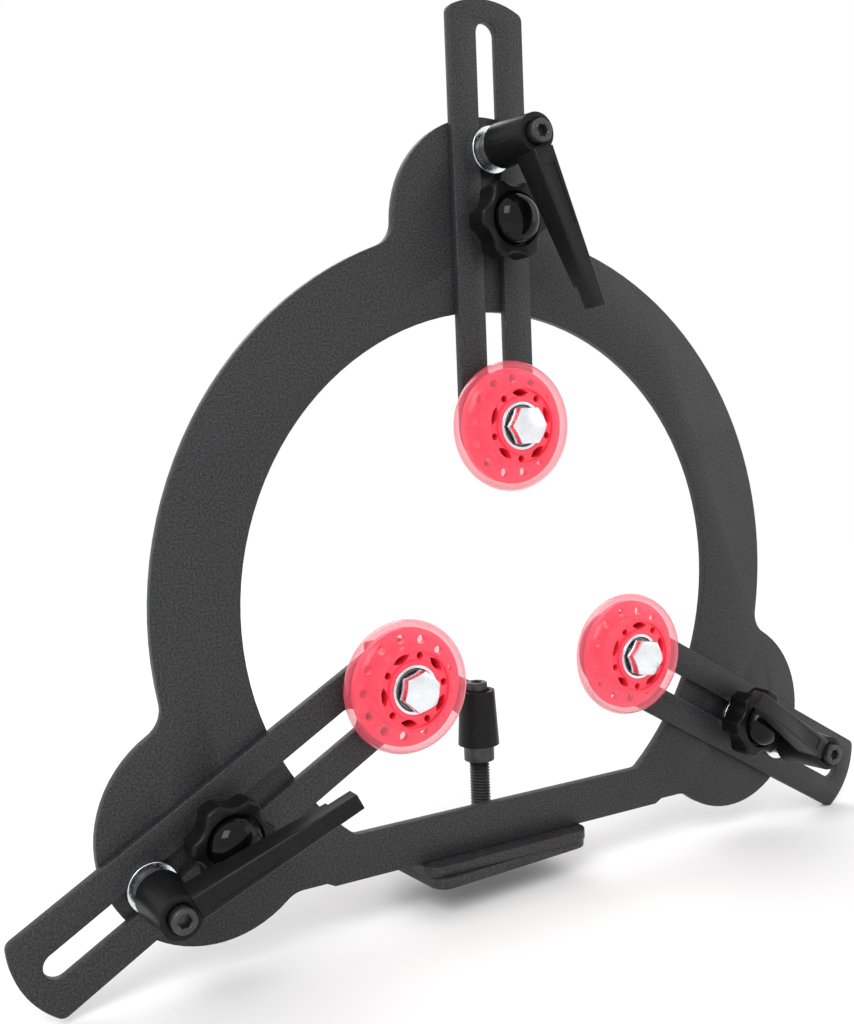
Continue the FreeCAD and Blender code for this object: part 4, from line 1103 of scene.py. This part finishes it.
@dataclass
class RatchetLever:
    """Ratchet lever on a stud: handle, toothed sleeve, threaded stud, socket screw and spring."""

    name: str
    body: str
    grip_body: str
    place: Matrix
    axis: Vector
    thread: GeometryRule
    teeth: GeometryRule
    spring: GeometryRule
    sleeve_radius: float = 7.5 * MM
    sleeve_height: float = 8 * MM
    boss_radius: float = 6.2 * MM
    stud_radius: float = 5 * MM
    thread_pitch: float = 1.5 * MM
    tooth_count: int = 16
    tooth_depth: float = 0.9 * MM
    tooth_height: float = 3 * MM
    screw_radius: float = 3 * MM
    screw_head_radius: float = 5.2 * MM
    screw_head_height: float = 6 * MM
    socket_flats: float = 5 * MM
    socket_depth: float = 3.2 * MM
    knurls: int = 36
    knurl_depth: float = 0.12 * MM
    wire_radius: float = 0.45 * MM
    spring_turns: float = 2.2
    mouth_width: float = 0.25 * MM
    mouth_depth: float = 0.4 * MM
    handle_edge: float = 0.45 * MM
    edge: float = 0.4 * MM

    def build(self) -> None:
        """Build the lever's pieces from its foot up."""
        handle = softened_copy(self.name + "_handle", self.handle_edge, 3)
        add_piece(self.name + "_grip", handle, self.grip_body, Slot.LEVER_COAT, LEVER_COAT,
                  [self.name + "_handle"])
        self.build_sleeve()
        self.build_screw()
        low, high = span(self.name + "_spring", self.axis)
        coil = self.spring.mesh("coil", SPRING_WIRE.material(),
                                Radius=self.screw_head_radius - self.edge / 2, Wire=self.wire_radius,
                                Length=high - low, Turns=self.spring_turns)
        coil.transform(self.place @ Matrix.Translation((0, 0, low)))
        add_piece(self.name + "_coil", coil, self.body, Slot.SPRING_STEEL, SPRING_WIRE,
                  [self.name + "_spring"])

    def build_sleeve(self) -> None:
        """Stud, sleeve and toothed boss."""
        low, top = span(self.name + "_sleeve", self.axis)
        hub = span(self.name + "_handle", self.axis)[0]
        foot = hub - self.sleeve_height
        ease = self.edge
        sleeve_profile = [(0, foot), (self.sleeve_radius, foot), (self.sleeve_radius, hub - ease / 4),
                          (self.boss_radius, hub - ease / 4), (self.boss_radius, top), (0, top)]
        sleeve = turned_mesh("sleeve", eased(sleeve_profile, ease))
        stud = self.thread.mesh("stud", BLACK_OXIDE.material(), Radius=self.stud_radius,
                                Pitch=self.thread_pitch, Length=foot - low + ease)
        pitch = self.boss_radius * math.tau / self.tooth_count
        teeth = self.teeth.mesh("teeth", BLACK_OXIDE.material(), Count=self.tooth_count,
                                Radius=self.boss_radius, Width=pitch / 2,
                                Depth=self.tooth_depth * 1.6, Height=self.tooth_height)
        parts = [(sleeve, Matrix()), (stud, Matrix.Translation((0, 0, low))),
                 (teeth, Matrix.Translation((0, 0, hub + self.tooth_height / 2)))]
        mesh = joined_mesh("sleeve", parts)
        mesh.transform(self.place)
        add_piece(self.name + "_threaded_sleeve", mesh, self.body, Slot.BLACK_STEEL, BLACK_OXIDE,
                  [self.name + "_sleeve"])

    def build_screw(self) -> None:
        """Socket screw with a knurled head."""
        end, top = span(self.name + "_screw", self.axis)
        seat_height = top - self.screw_head_height
        ease = self.edge
        hexagon = Hexagon(across_flats=self.socket_flats)

        def knurled(angle: float) -> float:
            return self.screw_head_radius - self.knurl_depth * (0.5 - 0.5 * math.cos(angle * self.knurls))

        def level(height: float) -> Callable[[float], float]:
            return lambda angle: height

        def circle(radius: float) -> Callable[[float], float]:
            return lambda angle: radius

        mouth = self.socket_flats / math.sqrt(3) + self.mouth_width
        layers = [
            (circle(self.screw_radius - ease), level(end)),
            (circle(self.screw_radius), level(end + ease)),
            (circle(self.screw_radius), level(seat_height)),
            (circle(self.screw_head_radius - ease / 2), level(seat_height)),
            (knurled, level(seat_height + ease / 2)),
            (knurled, level(top - ease * 1.6)),
            (circle(self.screw_head_radius - ease), level(top - ease * 0.4)),
            (circle(self.screw_head_radius - ease * 2), level(top)),
            (circle(mouth), level(top)),
            (hexagon.reach, level(top - self.mouth_depth)),
            (hexagon.reach, level(top - self.socket_depth)),
        ]
        mesh = polar_mesh("screw", layers, 180)
        mesh.transform(self.place)
        add_piece(self.name + "_socket_screw", mesh, self.body, Slot.BLACK_STEEL, BLACK_OXIDE,
                  [self.name + "_screw"])


@dataclass
class StarKnob:
    """Star knob of a station with its polished cap and its stud."""

    station: Station
    thread: GeometryRule
    points: int = 6
    radius: float = 18 * MM
    hollow_radius: float = 10 * MM
    hollow_reach: float = 25 * MM
    blend: float = 0.5 * MM
    neck_radius: float = 9.5 * MM
    neck_height: float = 4.5 * MM
    star_height: float = 13 * MM
    edge: float = 1.7 * MM
    cap_radius: float = 11.25 * MM
    cap_seat: float = 2.5 * MM
    groove: float = 1 * MM
    groove_edge: float = 0.3 * MM
    neck_edge: float = 0.4 * MM
    edge_steps: int = 6
    dome_steps: int = 16
    stud_radius: float = 5 * MM
    thread_pitch: float = 1.5 * MM

    def star(self, angle: float) -> float:
        """Distance from the axis to the star's side at an angle, a point standing at 0."""
        part = math.tau / self.points
        off = (angle % part) - part / 2
        inside = self.hollow_radius ** 2 - (self.hollow_reach * math.sin(off)) ** 2
        hollow = self.hollow_reach * math.cos(off) - math.sqrt(max(inside, 0.0))
        shares = math.exp(-self.radius / self.blend) + math.exp(-hollow / self.blend)
        return -self.blend * math.log(shares)

    def inset(self, distance: float,
              height: float) -> tuple[Callable[[float], float], Callable[[float], float]]:
        """Layer of the star drawn in by a distance, at a height."""
        return (lambda angle: self.star(angle) - distance), (lambda angle: height)

    def build(self) -> None:
        """Build knob, cap and stud."""
        station = self.station
        body = station.node("star_knob")
        place = station.seat("knob_turn")
        low = span(station.node("knob"), FORWARD)[0]
        add_piece(station.node("star_grip"), self.star_mesh(low, place), body, Slot.KNOB, KNOB_SKIN,
                  [station.node("knob")])
        cap_low, cap_high = span(station.node("knob_cap"), FORWARD)
        rise = cap_high - (low + self.neck_height + self.star_height)
        shoulder = cap_high - rise
        quarter = [math.pi / 2 * step / self.dome_steps for step in range(self.dome_steps)]
        dome = [(self.cap_radius * math.cos(angle), shoulder + rise * math.sin(angle)) for angle in quarter]
        profile = [(0, cap_low), (self.cap_radius, cap_low), *dome, (0, cap_high)]
        cap = turned_mesh("cap", profile, sides=96)
        cap.transform(place)
        add_piece(station.node("domed_cap"), cap, body, Slot.KNOB_CAP, CAP_SKIN, [station.node("knob_cap")])
        stud_low, stud_high = span(station.node("knob_stud"), FORWARD)
        stud = self.thread.mesh("stud", ZINC.material(), Radius=self.stud_radius, Pitch=self.thread_pitch,
                                Length=stud_high - stud_low)
        stud.transform(place @ Matrix.Translation((0, 0, stud_low)))
        add_piece(station.node("threaded_stud"), stud, body, Slot.ZINC, ZINC, [station.node("knob_stud")])

    def star_mesh(self, low: float, place: Matrix) -> bpy.types.Mesh:
        """Star with its neck, rounded edges, a sloped face and the groove round the cap."""
        base = low + self.neck_height
        top = base + self.star_height
        layers = [(lambda angle: self.neck_radius - self.neck_edge, lambda angle: low),
                  (lambda angle: self.neck_radius, lambda angle: low + self.neck_edge),
                  (lambda angle: self.neck_radius, lambda angle: base)]
        quarter = [math.pi / 2 * step / self.edge_steps for step in range(self.edge_steps + 1)]
        for angle in quarter:
            drawn_in = self.edge * (1 - math.sin(angle))
            layers.append(self.inset(drawn_in, base + self.edge * (1 - math.cos(angle))))
        for angle in quarter:
            drawn_in = self.edge * (1 - math.cos(angle))
            layers.append(self.inset(drawn_in, top - self.edge * (1 - math.sin(angle))))
        groove = self.cap_radius + self.groove
        floor = top - self.cap_seat
        layers.append((lambda angle: groove + self.groove_edge, lambda angle: top))
        layers.append((lambda angle: groove, lambda angle: top - self.groove_edge))
        layers.append((lambda angle: groove, lambda angle: floor))
        mesh = polar_mesh("star", layers, 216)
        mesh.transform(place)
        return mesh


# ---------------------------------------------------------------- stage

@dataclass
class Lamp:
    """Soft square lamp that looks at the middle of the object."""

    name: str
    place: tuple[float, float, float]
    size: float
    power: float

    def build(self, target: Vector) -> None:
        """Hang the lamp."""
        data = bpy.data.lights.new(self.name, "AREA")
        data.shape = "SQUARE"
        data.size = self.size
        data.energy = self.power
        lamp = bpy.data.objects.new(self.name, data)
        lamp.location = self.place
        lamp.rotation_euler = (target - Vector(self.place)).to_track_quat("-Z", "Y").to_euler()
        bpy.context.scene.collection.objects.link(lamp)


@dataclass
class Studio:
    """Pale floor, soft light and the camera."""

    camera_place: tuple[float, float, float] = (-0.3079, -0.4639, 0.2110)
    heading: float = 30.13
    look_down: float = 4.54
    roll: float = 2.28
    lens: float = 41.37
    floor_radius: float = 1.6
    floor_clear: float = 0.5
    floor_thickness: float = 0.001
    fade_end: float = 0.95
    floor_tone: float = 0.96
    plain_light: float = 0.84
    lamps: Sequence[Lamp] = field(default_factory=lambda: (
        Lamp("key", (-1.3, -1.2, 1.5), 1.1, 24.0),
        Lamp("fill", (1.4, -0.9, 0.8), 1.2, 4.0),
        Lamp("rim", (0.2, 1.5, 1.2), 1.2, 9.0)))

    def build(self) -> None:
        """Set up the stage."""
        low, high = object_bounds()
        self.build_floor(low.z)
        self.build_world()
        for lamp in self.lamps:
            lamp.build((low + high) / 2)
        self.build_camera()
        scene = bpy.context.scene
        scene.view_settings.view_transform = "Standard"

    def build_floor(self, height: float) -> None:
        """Round pale floor that fades into the white round it."""
        under = height - self.floor_thickness
        mesh = turned_mesh("floor", [(0, under), (self.floor_radius, under),
                                     (self.floor_radius, height), (0, height)], sides=96)
        floor = bpy.data.objects.new("floor", mesh)
        bpy.context.scene.collection.objects.link(floor)
        material = bpy.data.materials.new("pale_floor")
        material.use_nodes = True
        material.node_tree.nodes.clear()
        tree = Tree(material.node_tree)
        place = tree.node("ShaderNodeTexCoord").outputs["Object"]
        reach = tree.node("ShaderNodeVectorMath", {0: place}, operation="LENGTH").outputs["Value"]
        fade = tree.node("ShaderNodeMapRange", {"Value": reach, "From Min": self.floor_clear,
                                                "From Max": self.floor_radius * self.fade_end}).outputs[0]
        matt = tree.node("ShaderNodeBsdfDiffuse", {"Color": (*(self.floor_tone,) * 3, 1)})
        clear = tree.node("ShaderNodeBsdfTransparent")
        mix = tree.node("ShaderNodeMixShader", {0: fade, 1: matt.outputs[0], 2: clear.outputs[0]})
        tree.node("ShaderNodeOutputMaterial", {"Surface": mix.outputs[0]})
        mesh.materials.append(material)
        floor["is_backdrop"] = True

    def build_world(self) -> None:
        """White round everything that is seen, mirrored or seen through, and plain light elsewhere."""
        world = bpy.data.worlds.new("studio")
        bpy.context.scene.world = world
        world.use_nodes = True
        world.node_tree.nodes.clear()
        tree = Tree(world.node_tree)
        ray = tree.node("ShaderNodeLightPath")
        seen = tree.node("ShaderNodeMath", {0: ray.outputs["Is Camera Ray"],
                                            1: ray.outputs["Is Transmission Ray"]}, operation="MAXIMUM")
        shown = tree.node("ShaderNodeMath", {0: seen.outputs[0], 1: ray.outputs["Is Glossy Ray"]},
                          operation="MAXIMUM")
        strength = tree.node("ShaderNodeMapRange", {"Value": shown.outputs[0],
                                                    "To Min": self.plain_light, "To Max": 1.0})
        white = tree.node("ShaderNodeBackground", {"Color": (1, 1, 1, 1), "Strength": strength.outputs[0]})
        tree.node("ShaderNodeOutputWorld", {"Surface": white.outputs[0]})

    def build_camera(self) -> None:
        """Camera to the left of the rollers' side, a little above the middle."""
        data = bpy.data.cameras.new("camera")
        data.lens = self.lens
        data.clip_start = 0.01
        camera = bpy.data.objects.new("camera", data)
        turn = (Matrix.Rotation(-math.radians(self.heading), 4, "Z")
                @ Matrix.Rotation(math.radians(90 - self.look_down), 4, "X")
                @ Matrix.Rotation(-math.radians(self.roll), 4, "Z"))
        camera.matrix_world = Matrix.Translation(self.camera_place) @ turn
        bpy.context.scene.collection.objects.link(camera)
        bpy.context.scene.camera = camera


def build_levers(thread: GeometryRule) -> None:
    """Build the three levers of the arms and the one on the bed stud."""
    teeth = ring_of_teeth_rule()
    spring = spring_rule()
    for station in STATIONS:
        RatchetLever(station.node("lever"), station.node("lever"), station.node("lever_grip"),
                     station.seat("lever_turn"), FORWARD, thread, teeth, spring).build()
    foot = Vector(JOINTS["bed_lever_turn"]["pos_m"])
    upright = seat((foot.x, foot.y, 0), UPWARD, Vector((0, 1, 0)))
    RatchetLever("bed_lever", "bed_lever", "bed_lever_grip", upright, UPWARD, thread, teeth, spring).build()


def main() -> None:
    """Build the steady rest, then the stage round it."""
    logging.basicConfig(level=logging.INFO, format="%(message)s")
    thread = thread_rule()
    hexagon = Hexagon()
    Plates().build()
    Fasteners(hexagon).build()
    web = pierced_disc_rule("wheel_web", (WindowShape.LENS, WindowShape.ROUND))
    flange = pierced_disc_rule("anchor_flange", (WindowShape.ROUND,))
    for station in STATIONS:
        Axle(station, hexagon, thread).build()
        Roller(station, web, flange).build()
        StarKnob(station, thread).build()
    build_levers(thread)
    Studio().build()


if __name__ == "__main__":
    main()
